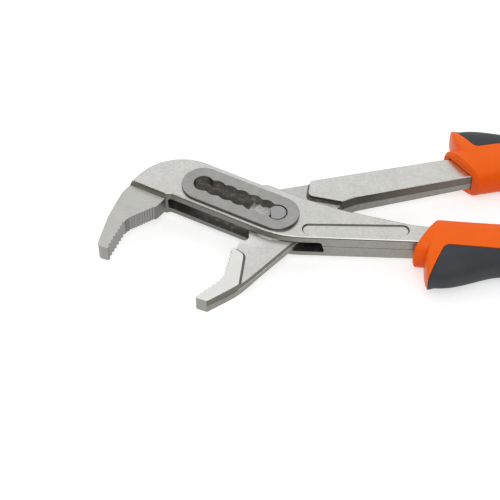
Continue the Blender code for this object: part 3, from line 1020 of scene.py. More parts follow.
@dataclass(frozen=True)
class StopLine:
    """The line of stops that the pin is set in."""

    angle: float = 28.0
    pitch: float = 5.9
    count: int = 7
    radius: float = 4.3
    channel: float = 3.5
    pad_radius: float = 9.3

    @property
    def far(self) -> float:
        """How far along the line the first stop lies."""
        return -(self.count - 1) * self.pitch

    def at(self, along: float, across: float) -> Point:
        """Return the point at a distance along and across the line."""
        turn = radians(self.angle)
        return along * cos(turn) + across * sin(turn), across * cos(turn) - along * sin(turn)

    def corner(self, x: float, y: float, radius: float, leans: bool = True) -> Corner:
        """Return a jaw corner, with its place measured from the first stop."""
        start = self.at(self.far, 0.0)
        return Corner(start[0] + x, start[1] + y, radius, leans)

    def outline(self) -> Outline:
        """Draw the scalloped slot: a round stop at each pitch, joined by the channel.

        Returns:
            The slot's outline.
        """
        lip = degrees(asin(self.channel / self.radius))
        upper: list[Point] = []
        lower: list[Point] = []
        for index in range(self.count):
            centre = self.at(-index * self.pitch, 0.0)
            first = lip if index else lip - HALF_TURN
            last = HALF_TURN - lip if index < self.count - 1 else FULL_TURN - lip
            upper += Outline.arc(centre, self.radius, first - self.angle, last - first)
            if 0 < index < self.count - 1:
                first = HALF_TURN + lip - self.angle
                lower = Outline.arc(centre, self.radius, first, HALF_TURN - 2 * lip) + lower
        return Outline.through(upper + lower)


@dataclass(frozen=True)
class Teeth:
    """A row of milled teeth along a jaw flat."""

    pitch: float
    depth: float
    margin: float = 1.2
    crest: float = 0.08
    crest_at: float = 0.02
    gullet: tuple[float, float] = (0.44, 0.56)
    fewest: int = 3
    reach: float = 10.0

    def cut(self, arm: bpy.types.Object, start: Point, end: Point, finish: bpy.types.Material) -> None:
        """Mill the row into an arm.

        Args:
            arm: The arm.
            start: Where the flat starts. The mouth lies to the left of the way to its end.
            end: Where the flat ends.
            finish: The teeth's finish.
        """
        a, b = Vector(start), Vector(end)
        along = (b - a).normalized()
        out = Vector((-along.y, along.x))
        a += along * self.margin
        b -= along * self.margin
        count = max(self.fewest, round((b - a).length / self.pitch))
        pitch = (b - a).length / count
        places = [a + out * self.depth]
        for index in range(count):
            places.append(a + along * pitch * (index + self.crest_at) - out * self.crest)
            places += [a + along * pitch * (index + part) - out * self.depth for part in self.gullet]
        places += [b - out * self.crest, b + out * self.depth]
        comb = Outline.through([(place.x, place.y) for place in places])
        Bench.carve(arm, comb, Bench.slab(self.reach), finish)


@dataclass
class GripAxis:
    """The bent axis of a handle's grip and the tang along it."""

    start: Point
    angle: float
    side: int
    tang_half: float
    tang_end_half: float = 3.2
    length: float = 121.0
    tang_short: float = 21.0
    turn: float = 9.0
    steps: int = 14

    @property
    def tang_length(self) -> float:
        """The length of the tang inside the grip."""
        return self.length - self.tang_short

    def at(self, along: float, aside: float = 0.0) -> Point:
        """Find a point by its place on the axis.

        Args:
            along: Its distance along the axis.
            aside: Its distance aside, to the left.

        Returns:
            The point.
        """
        bend = radians(-self.side * self.turn) / self.length
        first = radians(self.angle)
        here = first + bend * along
        x = self.start[0] + (sin(here) - sin(first)) / bend - aside * sin(here)
        y = self.start[1] - (cos(here) - cos(first)) / bend + aside * cos(here)
        return x, y

    def tang(self, begin: float, end: float, grow: float = 0.0) -> list[Point]:
        """Return the tang's two long edges.

        Args:
            begin: Where along the axis they begin.
            end: Where they end.
            grow: How far they stand off the tang.

        Returns:
            The points, out along the left edge and back along the right.
        """
        left, right = [], []
        for step in range(self.steps + 1):
            along = begin + (end - begin) * step / self.steps
            taper = (self.tang_end_half - self.tang_half) * along / self.tang_length
            half = self.tang_half + taper + grow
            left.append(self.at(along, half))
            right.append(self.at(along, -half))
        return left + right[::-1]


@dataclass(frozen=True)
class FacedStep:
    """A face that is cut down to a level inside an outline, with a filleted foot."""

    half: float
    fillet: float
    slope: float = 0.0
    height: float = 4.0
    lean: float = 0.0
    lean_height: float = 1.0

    def cut(
        self, arm: bpy.types.Object, region: Outline, side: float, finish: bpy.types.Material,
        wall: bpy.types.Material,
    ) -> None:
        """Cut one face.

        Args:
            arm: The arm.
            region: Where the face is cut, at the foot of its wall.
            side: 1 for the upper face and -1 for the lower.
            finish: The finish of the cut face.
            wall: The finish of its wall.
        """
        slope = radians(self.slope)
        spread = self.height * tan(slope)
        share = self.lean_height / self.height
        levels = [
            Level(side * (self.half + self.height), -spread, -self.lean),
            Level(side * (self.half + self.lean_height), -spread * share, -self.lean),
        ]
        for step in range(Bench.ROUND_STEPS + 1):
            angle = slope + (pi / 2 - slope) * step / Bench.ROUND_STEPS
            rise = self.half + self.fillet * (1 - sin(angle))
            levels.append(Level(side * rise, self.fillet * (1 - cos(angle))))
        face = Bench.plate("face", region, levels, finish)
        Bench.paint_walls(face, wall, CUT_WALL)
        Bench.combine(arm, face, Cut.REMOVE)


@dataclass(frozen=True)
class Section:
    """The section of a forged arm: thickness, edges, leaning walls and the groove of its parting line."""

    half: float
    fall: float
    edge: float
    line: float
    line_height: float
    lean: float = 0.10

    def forge(self, name: str, outline: Outline, finish: bpy.types.Material) -> bpy.types.Object:
        """Raise an arm with this section.

        Args:
            name: The arm's name.
            outline: Its outline.
            finish: The finish of its faces.

        Returns:
            The arm before it is machined.
        """
        plain = Bench.rounding(self.half, self.edge, self.lean)
        levels = Bench.parted(plain, self.line_height, self.line)
        return Bench.plate(name, outline, levels, finish, self.fall)

    def in_groove(self, normal: Vector, centre: Vector) -> bool:
        """Tell whether a face lies in the parting line's groove, which gets painted shade."""
        level = centre.z / (1.0 - self.fall * centre.x / self.half)
        return abs(normal.z) > WALL_RISE and abs(level - self.line_height) < self.line


@dataclass
class FixedArm:
    """The forging with the box joint: jaw, window, raised pads, scalloped stops, handle and tang."""

    stops: StopLine
    axis: GripAxis
    finishes: Finishes
    section: Section = Section(half=6.0, fall=0.004, edge=1.2, line=0.16, line_height=0.75)
    jaw_half: float = 3.9
    fillet: float = 1.0
    slope: float = 16.0
    pad_half: float = 7.4
    pad_edge: float = 0.4
    box_lower: float = 10.9
    box_upper: float = 12.5
    box_rise: float = 1.4
    arch_radius: float = 2.5
    top_radius: float = 23.0
    rise_at: float = -12.5
    rise_run: float = 2.3
    rise_radius: float = 2.5
    bend_at: float = 4.4
    bend_radius: float = 30.0
    step_drop: float = 1.5
    back_angle: float = 51.3
    ramp_angle: float = 52.0
    window_half: float = 2.9
    window_edge: float = 1.0
    window_left_low: float = 11.8
    window_left: float = 19.6
    window_knee: float = -4.5
    window_slant: float = 1.3
    window_end_low: Point = (16.9, -18.0)
    window_end_high: Point = (31.0, 6.0)
    handle_top: Corner = Corner(28.2, 2.85, 60.0)
    handle_low: Corner = Corner(0.3, -12.5, 42.0)
    plate_start: Point = (13.15, -8.2)
    plate_end: Point = (52.0, -8.8)
    plate_radius: float = 3.05
    plate_depth: float = 0.65
    plate_draft: float = 0.6
    ramp_teeth: Teeth = Teeth(1.25, 0.42)
    tip_teeth: Teeth = Teeth(2.3, 0.75)
    tip_reach: float = 1.0
    pad_wall: float = 0.6
    rim_foot: float = 0.7
    clear: float = 8.0
    jaw_clear: float = 72.0

    def __post_init__(self) -> None:
        """Place the jaw's corners from the first stop."""
        self.ramp = self.stops.corner(-19.7, -10.0, 1.0, False)
        self.notch = self.stops.corner(-32.3, -17.6, 0.4, False)
        self.tip_inner = self.stops.corner(-39.1, -33.6, 0.5, False)
        self.tip_outer = self.stops.corner(-43.7, -32.1, 2.4, False)
        self.back_low = self.stops.corner(-40.0, -15.8, 40.0)
        self.back_high = self.stops.corner(-34.6, -1.6, 15.0)

    def outline(self) -> Outline:
        """Draw the arm: arch, mouth, back of the jaw, box, handle and tang.

        Returns:
            The arm's outline.
        """
        level = -self.stops.angle
        arch = crossing(self.ramp.at, self.ramp_angle, self.stops.at(0.0, -self.box_lower), level)
        top = crossing(self.back_high.at, self.back_angle, self.stops.at(0.0, self.box_upper), level)
        raised = self.box_upper + self.box_rise
        rise_start = self.stops.at(self.rise_at - self.rise_run / 2, self.box_upper)
        rise_end = self.stops.at(self.rise_at + self.rise_run / 2, raised)
        tang = self.axis.tang(0.0, self.axis.tang_length)
        return Outline.rounded([
            Corner(*arch, self.arch_radius, False), self.ramp, self.notch, self.tip_inner,
            self.tip_outer, self.back_low, self.back_high, Corner(*top, self.top_radius),
            Corner(*rise_start, self.rise_radius), Corner(*rise_end, self.rise_radius),
            Corner(*self.stops.at(self.bend_at, raised), self.bend_radius), self.handle_top,
            *(Corner(x, y) for x, y in tang), self.handle_low,
        ])

    def window_outline(self) -> Outline:
        """Draw the window that the moving arm's web passes through.

        Returns:
            The window's outline, which leans at its end beside the handle.
        """
        far = self.stops.far
        foot = self.stops.at(far - self.window_left_low, -self.box_lower)
        knee = self.stops.at(far - self.window_left, self.window_knee)
        left = [
            self.stops.at(far, -self.box_lower - 3 * self.clear),
            stepped(foot, heading(knee, foot), self.clear),
            knee,
            self.stops.at(far - self.window_left, self.box_upper + 3 * self.clear),
        ]
        end = [
            stepped(self.window_end_high, QUARTER_TURN, 3 * self.clear),
            self.window_end_high,
            self.window_end_low,
            stepped(self.window_end_low, -QUARTER_TURN, 3 * self.clear),
        ]
        return Outline([
            *(EdgePoint(x, y, leans=False) for x, y in left), *(EdgePoint(x, y) for x, y in end),
        ])

    def on_tip(self, normal: Vector, centre: Vector) -> bool:
        """Tell whether a face is part of the tip's front, which gets painted shade."""
        near = centre.x < self.tip_inner.x and centre.y < self.tip_outer.y + self.tip_reach
        return near and abs(normal.z) < WALL_RISE

    def on_front_rim(self, normal: Vector, centre: Vector) -> bool:
        """Tell whether a face is part of the rounded rim at the arm's front, whose highlight is dimmed by
        painted shade near the box.
        """
        return normal.y < FRONT_LOOK and self.rim_foot < abs(normal.z) < FLAT_RISE

    def under_front_rim(self, normal: Vector, centre: Vector) -> bool:
        """Tell whether a face is the shaded foot of the rounded rim at the arm's front, where the shade is
        painted.
        """
        return normal.y < FRONT_LOOK and WALL_RISE < abs(normal.z) < self.rim_foot

    def blank(self) -> bpy.types.Object:
        """Forge the arm.

        Returns:
            The arm before it is machined.
        """
        arm = self.section.forge("fixed_arm_forging", self.outline(), self.finishes.chrome)
        # The walls, the tip, both rims, the line under the front rim and the parting groove get painted
        # shade.
        Bench.paint_walls(arm, self.finishes.side, WALL_RISE)
        Bench.paint(arm, self.finishes.tip_painted_shade, self.on_tip)
        Bench.paint(arm, self.finishes.rim, on_far_rim)
        Bench.paint(arm, self.finishes.front_rim_painted_shade, self.on_front_rim)
        Bench.paint(arm, self.finishes.wall, self.under_front_rim)
        Bench.paint(arm, self.finishes.dark, self.section.in_groove)
        return arm

    def add_pads(self, arm: bpy.types.Object) -> None:
        """Raise the pads round the stops.

        Args:
            arm: The arm.
        """
        start, end = self.stops.at(0.0, 0.0), self.stops.at(self.stops.far, 0.0)
        track = Outline.racetrack(start, end, self.stops.pad_radius)
        pads = Bench.plate("pads", track, Bench.rounding(self.pad_half, self.pad_edge), self.finishes.pad)
        # The pads' walls get painted shade.
        Bench.paint_walls(pads, self.finishes.dark, self.pad_wall)
        Bench.combine(arm, pads, Cut.ADD)

    def grind_jaw(self, arm: bpy.types.Object) -> None:
        """Grind both faces of the jaw down to its thickness, with a filleted foot.

        Args:
            arm: The arm.
        """
        high = -self.box_lower - self.step_drop
        low = high - self.jaw_clear
        right = self.stops.far + 2 * self.clear
        left = self.stops.far - self.jaw_clear
        places = ((right, high), (left, high), (left, low), (right, low))
        region = Outline.through([self.stops.at(*place) for place in places])
        step = FacedStep(self.jaw_half, self.fillet, self.slope)
        for side in BOTH_FACES:
            # The step's wall gets painted shade.
            step.cut(arm, region, side, self.finishes.jaw, self.finishes.step)

    def open_window(self, arm: bpy.types.Object) -> None:
        """Cut the window and the scalloped slot.

        Args:
            arm: The arm.
        """
        levels = []
        for level in Bench.rounding(self.window_half, self.window_edge):
            share = (level.height / self.window_half + 1.0) / 2
            levels.append(Level(level.height, level.inset, self.window_slant * share))
        # The window's and the slot's walls get the scale's painted shade.
        Bench.carve(arm, self.window_outline(), levels, self.finishes.scale)
        Bench.carve(arm, self.stops.outline(), Bench.slab(3 * self.clear), self.finishes.scale)

    def sink_plate(self, arm: bpy.types.Object) -> None:
        """Sink the bare plate into the handle's upper face.

        Args:
            arm: The arm.
        """
        track = Outline.racetrack(self.plate_start, self.plate_end, self.plate_radius)
        levels = [
            Level(self.section.half - self.plate_depth, self.plate_draft),
            Level(self.section.half + self.plate_depth, -self.plate_draft),
        ]
        recess = Bench.plate("recess", track, levels, self.finishes.chrome, self.section.fall)
        # The recess's walls get painted shade.
        Bench.paint_walls(recess, self.finishes.dark, CUT_WALL)
        Bench.combine(arm, recess, Cut.REMOVE)

    def build(self) -> bpy.types.Object:
        """Build the arm.

        Returns:
            The finished arm.
        """
        arm = self.blank()
        self.add_pads(arm)
        self.grind_jaw(arm)
        self.open_window(arm)
        self.sink_plate(arm)
        # The teeth's finish carries painted shade.
        self.ramp_teeth.cut(arm, self.ramp.at, self.notch.at, self.finishes.teeth)
        self.tip_teeth.cut(arm, self.notch.at, self.tip_inner.at, self.finishes.teeth)
        Bench.complete(arm, Body.FIXED_ARM, "fixed_arm", Slot.SATIN_CHROME)
        return arm


@dataclass
class MovingArm:
    """The forging that swings in the box: jaw, web, pin bore, shoulder, handle and tang."""

    axis: GripAxis
    finishes: Finishes
    section: Section = Section(half=5.4, fall=0.017, edge=0.7, line=0.2, line_height=0.0)
    web_half: float = 2.6
    web_edge: float = 1.3
    web_rise: float = 0.99
    jaw_half: float = 3.5
    fillet: float = 0.5
    slope: float = 15.0
    step_height: float = 4.0
    step_lean: float = 0.9
    foot_height: float = 1.4
    stop_look: float = -0.5
    lip: float = 1.5
    lip_length: float = 8.5
    lip_margin: float = 0.6
    land: float = 11.6
    land_depth: float = 0.05
    bore: float = 4.3
    web_top_left: Corner = Corner(-5.0, 16.1, 7.0)
    web_left: Corner = Corner(-12.0, 6.5, 8.0)
    web_left_low: Corner = Corner(-11.9, -11.2, 2.0, False)
    web_hip: Corner = Corner(-15.8, -12.1, 1.5, False)
    web_right: Corner = Corner(4.4, -14.5, 30.0)
    handle_top: Corner = Corner(15.0, 20.6, 60.0)
    handle_low: Corner = Corner(33.5, 11.0, 20.0)
    shoulder_top: Corner = Corner(13.9, 20.7, 2.5, False)
    shoulder_low: Corner = Corner(12.4, 11.15, 3.0, False)
    shoulder_flare: float = 22.0
    shoulder_heel: Corner = Corner(27.0, 7.9, 3.0)
    jaw_top: Corner = Corner(-19.2, -16.9, 1.5, False)
    jaw_root: Corner = Corner(-17.1, -16.7, 0.0, False)
    step_top: Corner = Corner(-13.4, -19.6, 3.6)
    step_low: Corner = Corner(-15.5, -36.2, 55.0)
    tip_outer: Corner = Corner(-28.9, -45.0, 1.2, False)
    tip_inner: Corner = Corner(-34.5, -42.8, 1.2, False)
    tip_reach: float = 1.0
    notch: Corner = Corner(-22.6, -32.4, 0.9, False)
    tip_teeth: Teeth = Teeth(2.3, 0.75)
    root_teeth: Teeth = Teeth(1.9, 0.6)
    front_near: float = 0.9
    front_before: float = 3.0
    front_level: float = 0.02
    clear: float = 8.0
    clear_low: float = -45.0
    clear_left: float = 150.0

    @property
    def front(self) -> float:
        """The direction of the web's front edge, up from the jaw."""
        return heading(self.step_low.at, self.web_right.at)

    @property
    def lip_end(self) -> Point:
        """Where the lower lip along the web's front edge ends."""
        return stepped(self.step_low.at, self.front, self.lip_length)

    def outline(self) -> Outline:
        """Draw the arm: handle, tang, web, jaw and the web's left side.

        Returns:
            The arm's outline.
        """
        tang = self.axis.tang(0.0, self.axis.tang_length)
        return Outline.rounded([
            self.web_top_left, self.handle_top, *(Corner(x, y) for x, y in tang),
            self.handle_low, self.shoulder_heel, self.web_right, self.step_low, self.tip_outer,
            self.tip_inner, self.notch, self.jaw_top, self.jaw_root, self.web_hip,
            self.web_left_low, self.web_left,
        ])

    def web_region(self, side: float) -> Outline:
        """Draw the region that is thinned to the web, between shoulder and jaw.

        Args:
            side: 1 for the upper face and -1 for the lower, which keeps a lip along the front edge.

        Returns:
            The region.
        """
        stop_face = heading(self.shoulder_low.at, self.shoulder_heel.at)
        step = heading(self.step_top.at, self.step_low.at)
        root = heading(self.step_top.at, self.jaw_root.at)
        far = [stepped(self.shoulder_heel.at, stop_face, 2 * self.clear)]
        if side > 0:
            far.append(stepped(self.step_low.at, self.clear_low, 6 * self.clear))
            last = stepped(self.step_low.at, step, 3 * self.clear)
        else:
            far.append(stepped(self.lip_end, self.clear_low, 3 * self.clear))
            far.append(stepped(self.lip_end, self.front + QUARTER_TURN, self.lip))
            last = crossing(far[-1], self.front, self.step_top.at, step)
        near = [
            stepped(self.jaw_root.at, root, 2 * self.clear),
            stepped(self.web_left.at, self.clear_left, 2 * self.clear),
            stepped(self.shoulder_top.at, QUARTER_TURN, 4 * self.clear),
            stepped(self.shoulder_top.at, self.shoulder_flare, 3 * self.clear),
        ]
        return Outline.rounded([
            *(Corner(*place, leans=False) for place in far), Corner(*last, leans=side > 0),
            self.step_top, *(Corner(*place, leans=False) for place in near),
            self.shoulder_top, self.shoulder_low,
        ])

    def trim_lip(self, arm: bpy.types.Object) -> None:
        """Slope the lower lip along the web's front edge, from the jaw's thickness to the web's.

        Args:
            arm: The arm.
        """
        front, start, end = self.front, self.step_low.at, self.lip_end
        fall = (self.jaw_half - self.web_half) / (end[0] - start[0])
        foot = self.web_half + fall * end[0]
        low = self.section.half + 3 * self.clear
        past = stepped(end, front, self.lip)
        width = self.lip + self.lip_margin
        region = Outline.through([
            stepped(start, front - QUARTER_TURN, 3 * self.clear),
            stepped(past, front - QUARTER_TURN, 3 * self.clear),
            stepped(past, front + QUARTER_TURN, width),
            stepped(start, front + QUARTER_TURN, width),
        ])
        levels = [Level(-low), Level(-foot)]
        # The lip's faces get the web's painted light.
        Bench.carve(arm, region, levels, self.finishes.web, fall * low / foot)

    def web_edges(self, arm: bpy.types.Object) -> list[int]:
        """Find the sharp edges along the web's front, between the shoulder's heel and the jaw's step.

        Args:
            arm: The arm.

        Returns:
            The numbers of the edges.
        """
        first, last = Vector(self.web_right.at), Vector(self.step_low.at)
        along = (last - first).normalized()
        length = (last - first).length
        found = []
        for edge in arm.data.edges:
            ends = [arm.data.vertices[number].co / MM for number in edge.vertices]
            heights = [abs(end.z - MID_HEIGHT) for end in ends]
            offsets = [end.xy - first for end in ends]
            level = all(abs(height - self.web_half) < self.front_level for height in heights)
            near = all(abs(offset.cross(along)) < self.front_near for offset in offsets)
            within = all(-self.front_before < offset.dot(along) < length for offset in offsets)
            if level and near and within:
                found.append(edge.index)
        return found

    def jaw_region(self) -> Outline:
        """Draw the region of the jaw's ground faces.

        Returns:
            The region.
        """
        left = self.tip_inner.x - self.clear
        low = self.tip_outer.y - self.clear
        right = self.step_top.x + self.clear / 2
        high = self.web_hip.y
        return Outline.through([(left, low), (right, low), (right, high), (left, high)])

    def on_tip(self, normal: Vector, centre: Vector) -> bool:
        """Tell whether a face is part of the tip's front, which gets painted shade."""
        near = centre.y < self.tip_inner.y + self.tip_reach
        return near and normal.x < 0.0 and abs(normal.z) < WALL_RISE

    def on_lower_side(self, normal: Vector, centre: Vector) -> bool:
        """Tell whether a face is a wall below the parting line, whose painted shade is lighter than above
        it.
        """
        return abs(normal.z) < WALL_RISE and centre.z < self.section.line_height

    def on_stop_foot(self, normal: Vector, centre: Vector) -> bool:
        """Tell whether a face is the lower part of the shoulder's wall, whose light from the web is
        painted, fading to painted shade.

        Args:
            normal: The face's normal.
            centre: Its centre.

        Returns:
            Whether it is.
        """
        height = abs(centre.z) - self.web_half
        near = self.shoulder_low.x < centre.x < self.shoulder_heel.x
        above = centre.y > self.shoulder_heel.y and 0.0 < height < self.foot_height
        return near and above and normal.y < self.stop_look and abs(normal.z) < CUT_WALL

    def on_web_rim(self, normal: Vector, centre: Vector) -> bool:
        """Tell whether a face is part of the rounded rim along the web's front, painted bright as a
        highlight.

        Args:
            normal: The face's normal.
            centre: Its centre.

        Returns:
            Whether it is.
        """
        front = crossing(self.step_low.at, self.front, (0.0, centre.y), 0.0)
        near = abs(centre.x - front[0]) < self.web_edge and centre.x > self.step_low.x
        return near and WALL_RISE < normal.z < self.web_rise

    def blank(self) -> bpy.types.Object:
        """Forge the arm.

        Returns:
            The arm before it is machined.
        """
        arm = self.section.forge("moving_arm_forging", self.outline(), self.finishes.chrome)
        # The walls, the tip, the parting groove and the far rim get painted shade, deeper on the upper
        # walls.
        Bench.paint_walls(arm, self.finishes.upper_side_painted_shade, WALL_RISE)
        Bench.paint(arm, self.finishes.lower_side_painted_shade, self.on_lower_side)
        Bench.paint(arm, self.finishes.tip_painted_shade, self.on_tip)
        Bench.paint(arm, self.finishes.dark, self.section.in_groove)
        Bench.paint(arm, self.finishes.rim, on_far_rim)
        return arm

    def thin(self, arm: bpy.types.Object) -> None:
        """Cut both faces down to the web and the jaw, and round the web's front edge.

        Args:
            arm: The arm.
        """
        web = FacedStep(
            self.web_half, self.fillet, self.slope, self.step_height, self.step_lean, self.foot_height,
        )
        jaw = FacedStep(self.jaw_half, self.fillet)
        for side in BOTH_FACES:
            # The web's faces get painted light and the step walls painted shade.
            web.cut(arm, self.web_region(side), side, self.finishes.web, self.finishes.wall)
            jaw.cut(arm, self.jaw_region(), side, self.finishes.bright_jaw, self.finishes.wall)
        Bench.paint(arm, self.finishes.foot_light_and_shade, self.on_stop_foot)
        self.trim_lip(arm)
        Bench.soften(arm, self.web_edges(arm), self.web_edge, Bench.ROUND_STEPS)
        Bench.paint(arm, self.finishes.web, self.on_web_rim)

    def drill(self, arm: bpy.types.Object) -> None:
        """Cut a shallow land round the pin on both faces, whose near-white colour is painted light, and
        the bore, whose dark colour is painted shade.

        Args:
            arm: The arm.
        """
        land = Outline.circle(self.land)
        depths = (-self.land_depth, self.land_depth)
        for side in BOTH_FACES:
            levels = [Level(side * (self.web_half + depth)) for depth in depths]
            Bench.carve(arm, land, levels, self.finishes.land)
        Bench.carve(arm, Outline.circle(self.bore), Bench.slab(3 * self.clear), self.finishes.scale)

    def build(self) -> bpy.types.Object:
        """Build the arm.

        Returns:
            The finished arm.
        """
        arm = self.blank()
        self.thin(arm)
        self.drill(arm)
        # The teeth's finish carries painted shade.
        self.tip_teeth.cut(arm, self.tip_inner.at, self.notch.at, self.finishes.teeth)
        self.root_teeth.cut(arm, self.notch.at, self.jaw_top.at, self.finishes.teeth)
        Bench.complete(arm, Body.MOVING_ARM, "moving_arm", Slot.SATIN_CHROME)
        return arm


@dataclass
class PivotPin:
    """The keyed pin: round through the web, with a flat on each end."""

    finishes: Finishes
    radius: float = 4.0
    half: float = 7.35
    edge: float = 0.55
    rim_rise: float = 0.1
    rim_look: float = -0.2
    flat: float = 2.75
    flat_angle: float = 185.3
    round_half: float = 2.9
    reach: float = 12.0

    def on_shaded_rim(self, normal: Vector, centre: Vector) -> bool:
        """Tell whether a face is part of the rim on the side away from the stops, which gets a painted
        shadow.
        """
        return normal.x > self.rim_look and self.rim_rise < abs(normal.z) < FLAT_RISE

    def build(self) -> bpy.types.Object:
        """Build the pin.

        Returns:
            The finished pin.
        """
        levels = Bench.rounding(self.half, self.edge)
        pin = Bench.plate("pivot_pin_turned", Outline.circle(self.radius), levels, self.finishes.pin)
        Bench.paint(pin, self.finishes.dark, self.on_shaded_rim)
        near = stepped(ORIGIN, self.flat_angle, self.flat)
        far = stepped(ORIGIN, self.flat_angle, self.reach)
        left, right = self.flat_angle + QUARTER_TURN, self.flat_angle - QUARTER_TURN
        ends = ((near, left), (far, left), (far, right), (near, right))
        region = Outline.through([stepped(end, way, self.reach) for end, way in ends])
        for side in BOTH_FACES:
            flat = [Level(side * self.round_half), Level(side * (self.round_half + self.reach))]
            # The flats get painted shade.
            Bench.carve(pin, region, flat, self.finishes.dark)
        Bench.complete(pin, Body.PIVOT_PIN, "pivot_pin", Slot.GROUND_STEEL)
        return pin


@dataclass
class Grip:
    """A handle's two-component grip: the hard shell on the tang and the soft palm inlay."""

    name: str
    axis: GripAxis
    body: Body
    finishes: Finishes
    section: Section
    fit: float = 0.3
    collar_outer: float = 10.0
    collar_inner: float = 9.6
    collar_half: float = 8.8
    rim: float = 1.2
    slant: float = 0.52
    slant_run: float = 26.0
    squareness: float = 2.7
    guard_at: float = 8.5
    guard_rise: float = 3.0
    guard_reach: float = 23.0
    guard_lean: float = 3.0
    waist_after: float = 28.0
    waist_reach: float = 12.6
    swell_back: float = 44.0
    swell_reach: float = 13.6
    tail: tuple[float, float, float, float] = (13.0, 11.0, 8.6, 7.9)
    end: tuple[float, float, float, float] = (2.5, 9.2, 7.0, 6.3)
    end_flat: float = 0.6
    palm_from: float = 7.5
    palm_slant: float = 6.0
    palm_back: float = 10.0
    palm_depth: float = 7.2
    palm_corner: float = 3.0
    palm_gap: float = 0.3
    ring_points: int = 64
    row_step: float = 1.4
    fewest_rows: int = 4
    reach: float = 24.0
    bore_reach: float = 8.0

    def stations(self) -> list[tuple[float, ...]]:
        """Work out the grip's rows, eased from one key station to the next.

        Returns:
            Distance along, palm reach, finger reach and half thickness at each row.
        """
        length = self.axis.length
        guard_end = self.guard_at + self.guard_rise
        shell = (self.collar_inner, self.collar_half)
        key = [
            (0.0, self.collar_outer - self.rim, self.collar_inner - self.rim, self.collar_half - self.rim),
            (self.rim, self.collar_outer, *shell),
            (self.guard_at - self.guard_rise, self.collar_outer, *shell),
            (self.guard_at, self.guard_reach, *shell),
            (guard_end, self.guard_reach - self.rim, *shell),
            (guard_end + self.waist_after, self.waist_reach, *shell),
            (length - self.swell_back, self.swell_reach, *shell),
            (length - self.tail[0], *self.tail[1:]),
            (length - self.end[0], *self.end[1:]),
            (length, *(size * self.end_flat for size in self.end[1:])),
        ]
        rows = []
        for before, after in zip(key, key[1:]):
            steps = max(self.fewest_rows, ceil((after[0] - before[0]) / self.row_step))
            for step in range(steps):
                part = step / steps
                ease = part * part * (3 - 2 * part)
                along = before[0] + (after[0] - before[0]) * part
                rows.append((along, *(p + (q - p) * ease for p, q in zip(before[1:], after[1:]))))
        return rows + [key[-1]]

    def blank(self, name: str, finish: bpy.types.Material) -> bpy.types.Object:
        """Mould the grip's whole outer shape, along its bent axis, with a slanted front rim.

        Args:
            name: The blank's name.
            finish: Its material.

        Returns:
            The blank.
        """
        power = 2 / self.squareness
        rows = []
        for along, outer, inner, thick in self.stations():
            fade = max(0.0, 1.0 - along / self.slant_run)
            row = []
            for step in range(self.ring_points):
                angle = 2 * pi * step / self.ring_points
                across = abs(cos(angle)) ** power * (inner if cos(angle) > 0 else -outer)
                height = abs(sin(angle)) ** power * (thick if sin(angle) > 0 else -thick)
                forward = max(across, -self.collar_outer - self.guard_lean) + self.collar_outer
                x, y = self.axis.at(along + self.slant * fade * forward, -self.axis.side * across)
                row.append((x, y, height))
            rows.append(row)
        return Bench.loft(name, rows, finish)

    def palm_region(self) -> Outline:
        """Draw the region of the inlay: the grip's outer side, from the guard to near its end.

        Returns:
            The region.
        """
        side = self.axis.side
        first = self.palm_from + self.palm_slant
        last = self.axis.length - self.palm_back
        inner = []
        for step in range(self.axis.steps + 1):
            along = first + (last - first) * step / self.axis.steps
            radius = self.palm_corner if step in (0, self.axis.steps) else 0.0
            inner.append(Corner(*self.axis.at(along, side * self.palm_depth), radius))
        outer = side * self.guard_reach
        places = [(last, 2 * outer), (self.palm_from, 2 * outer), (self.palm_from, outer)]
        return Outline.rounded(inner + [Corner(*self.axis.at(*place)) for place in places])

    def build(self) -> tuple[bpy.types.Object, bpy.types.Object]:
        """Build the grip.

        Returns:
            The finished shell and inlay.
        """
        shell = self.blank(self.name + "_shell", self.finishes.shell)
        bore_end = self.axis.tang_length + self.fit
        bore = Outline.through(self.axis.tang(-self.bore_reach, bore_end, self.fit))
        cavity = Bench.slab(self.section.half + self.fit)
        Bench.carve(shell, bore, cavity, self.finishes.shell, self.section.fall)
        region = self.palm_region()
        Bench.carve(shell, region, Bench.slab(self.reach, -self.palm_gap), self.finishes.shell)
        Bench.complete(shell, self.body, self.name + "_sleeve", Slot.ORANGE_GRIP)
        inlay = self.blank(self.name + "_palm", self.finishes.palm)
        through = Bench.slab(self.reach)
        Bench.combine(inlay, Bench.plate("palm", region, through, self.finishes.palm), Cut.KEEP)
        Bench.complete(inlay, self.body, self.name + "_inlay", Slot.CHARCOAL_GRIP)
        return shell, inlay


# The studio


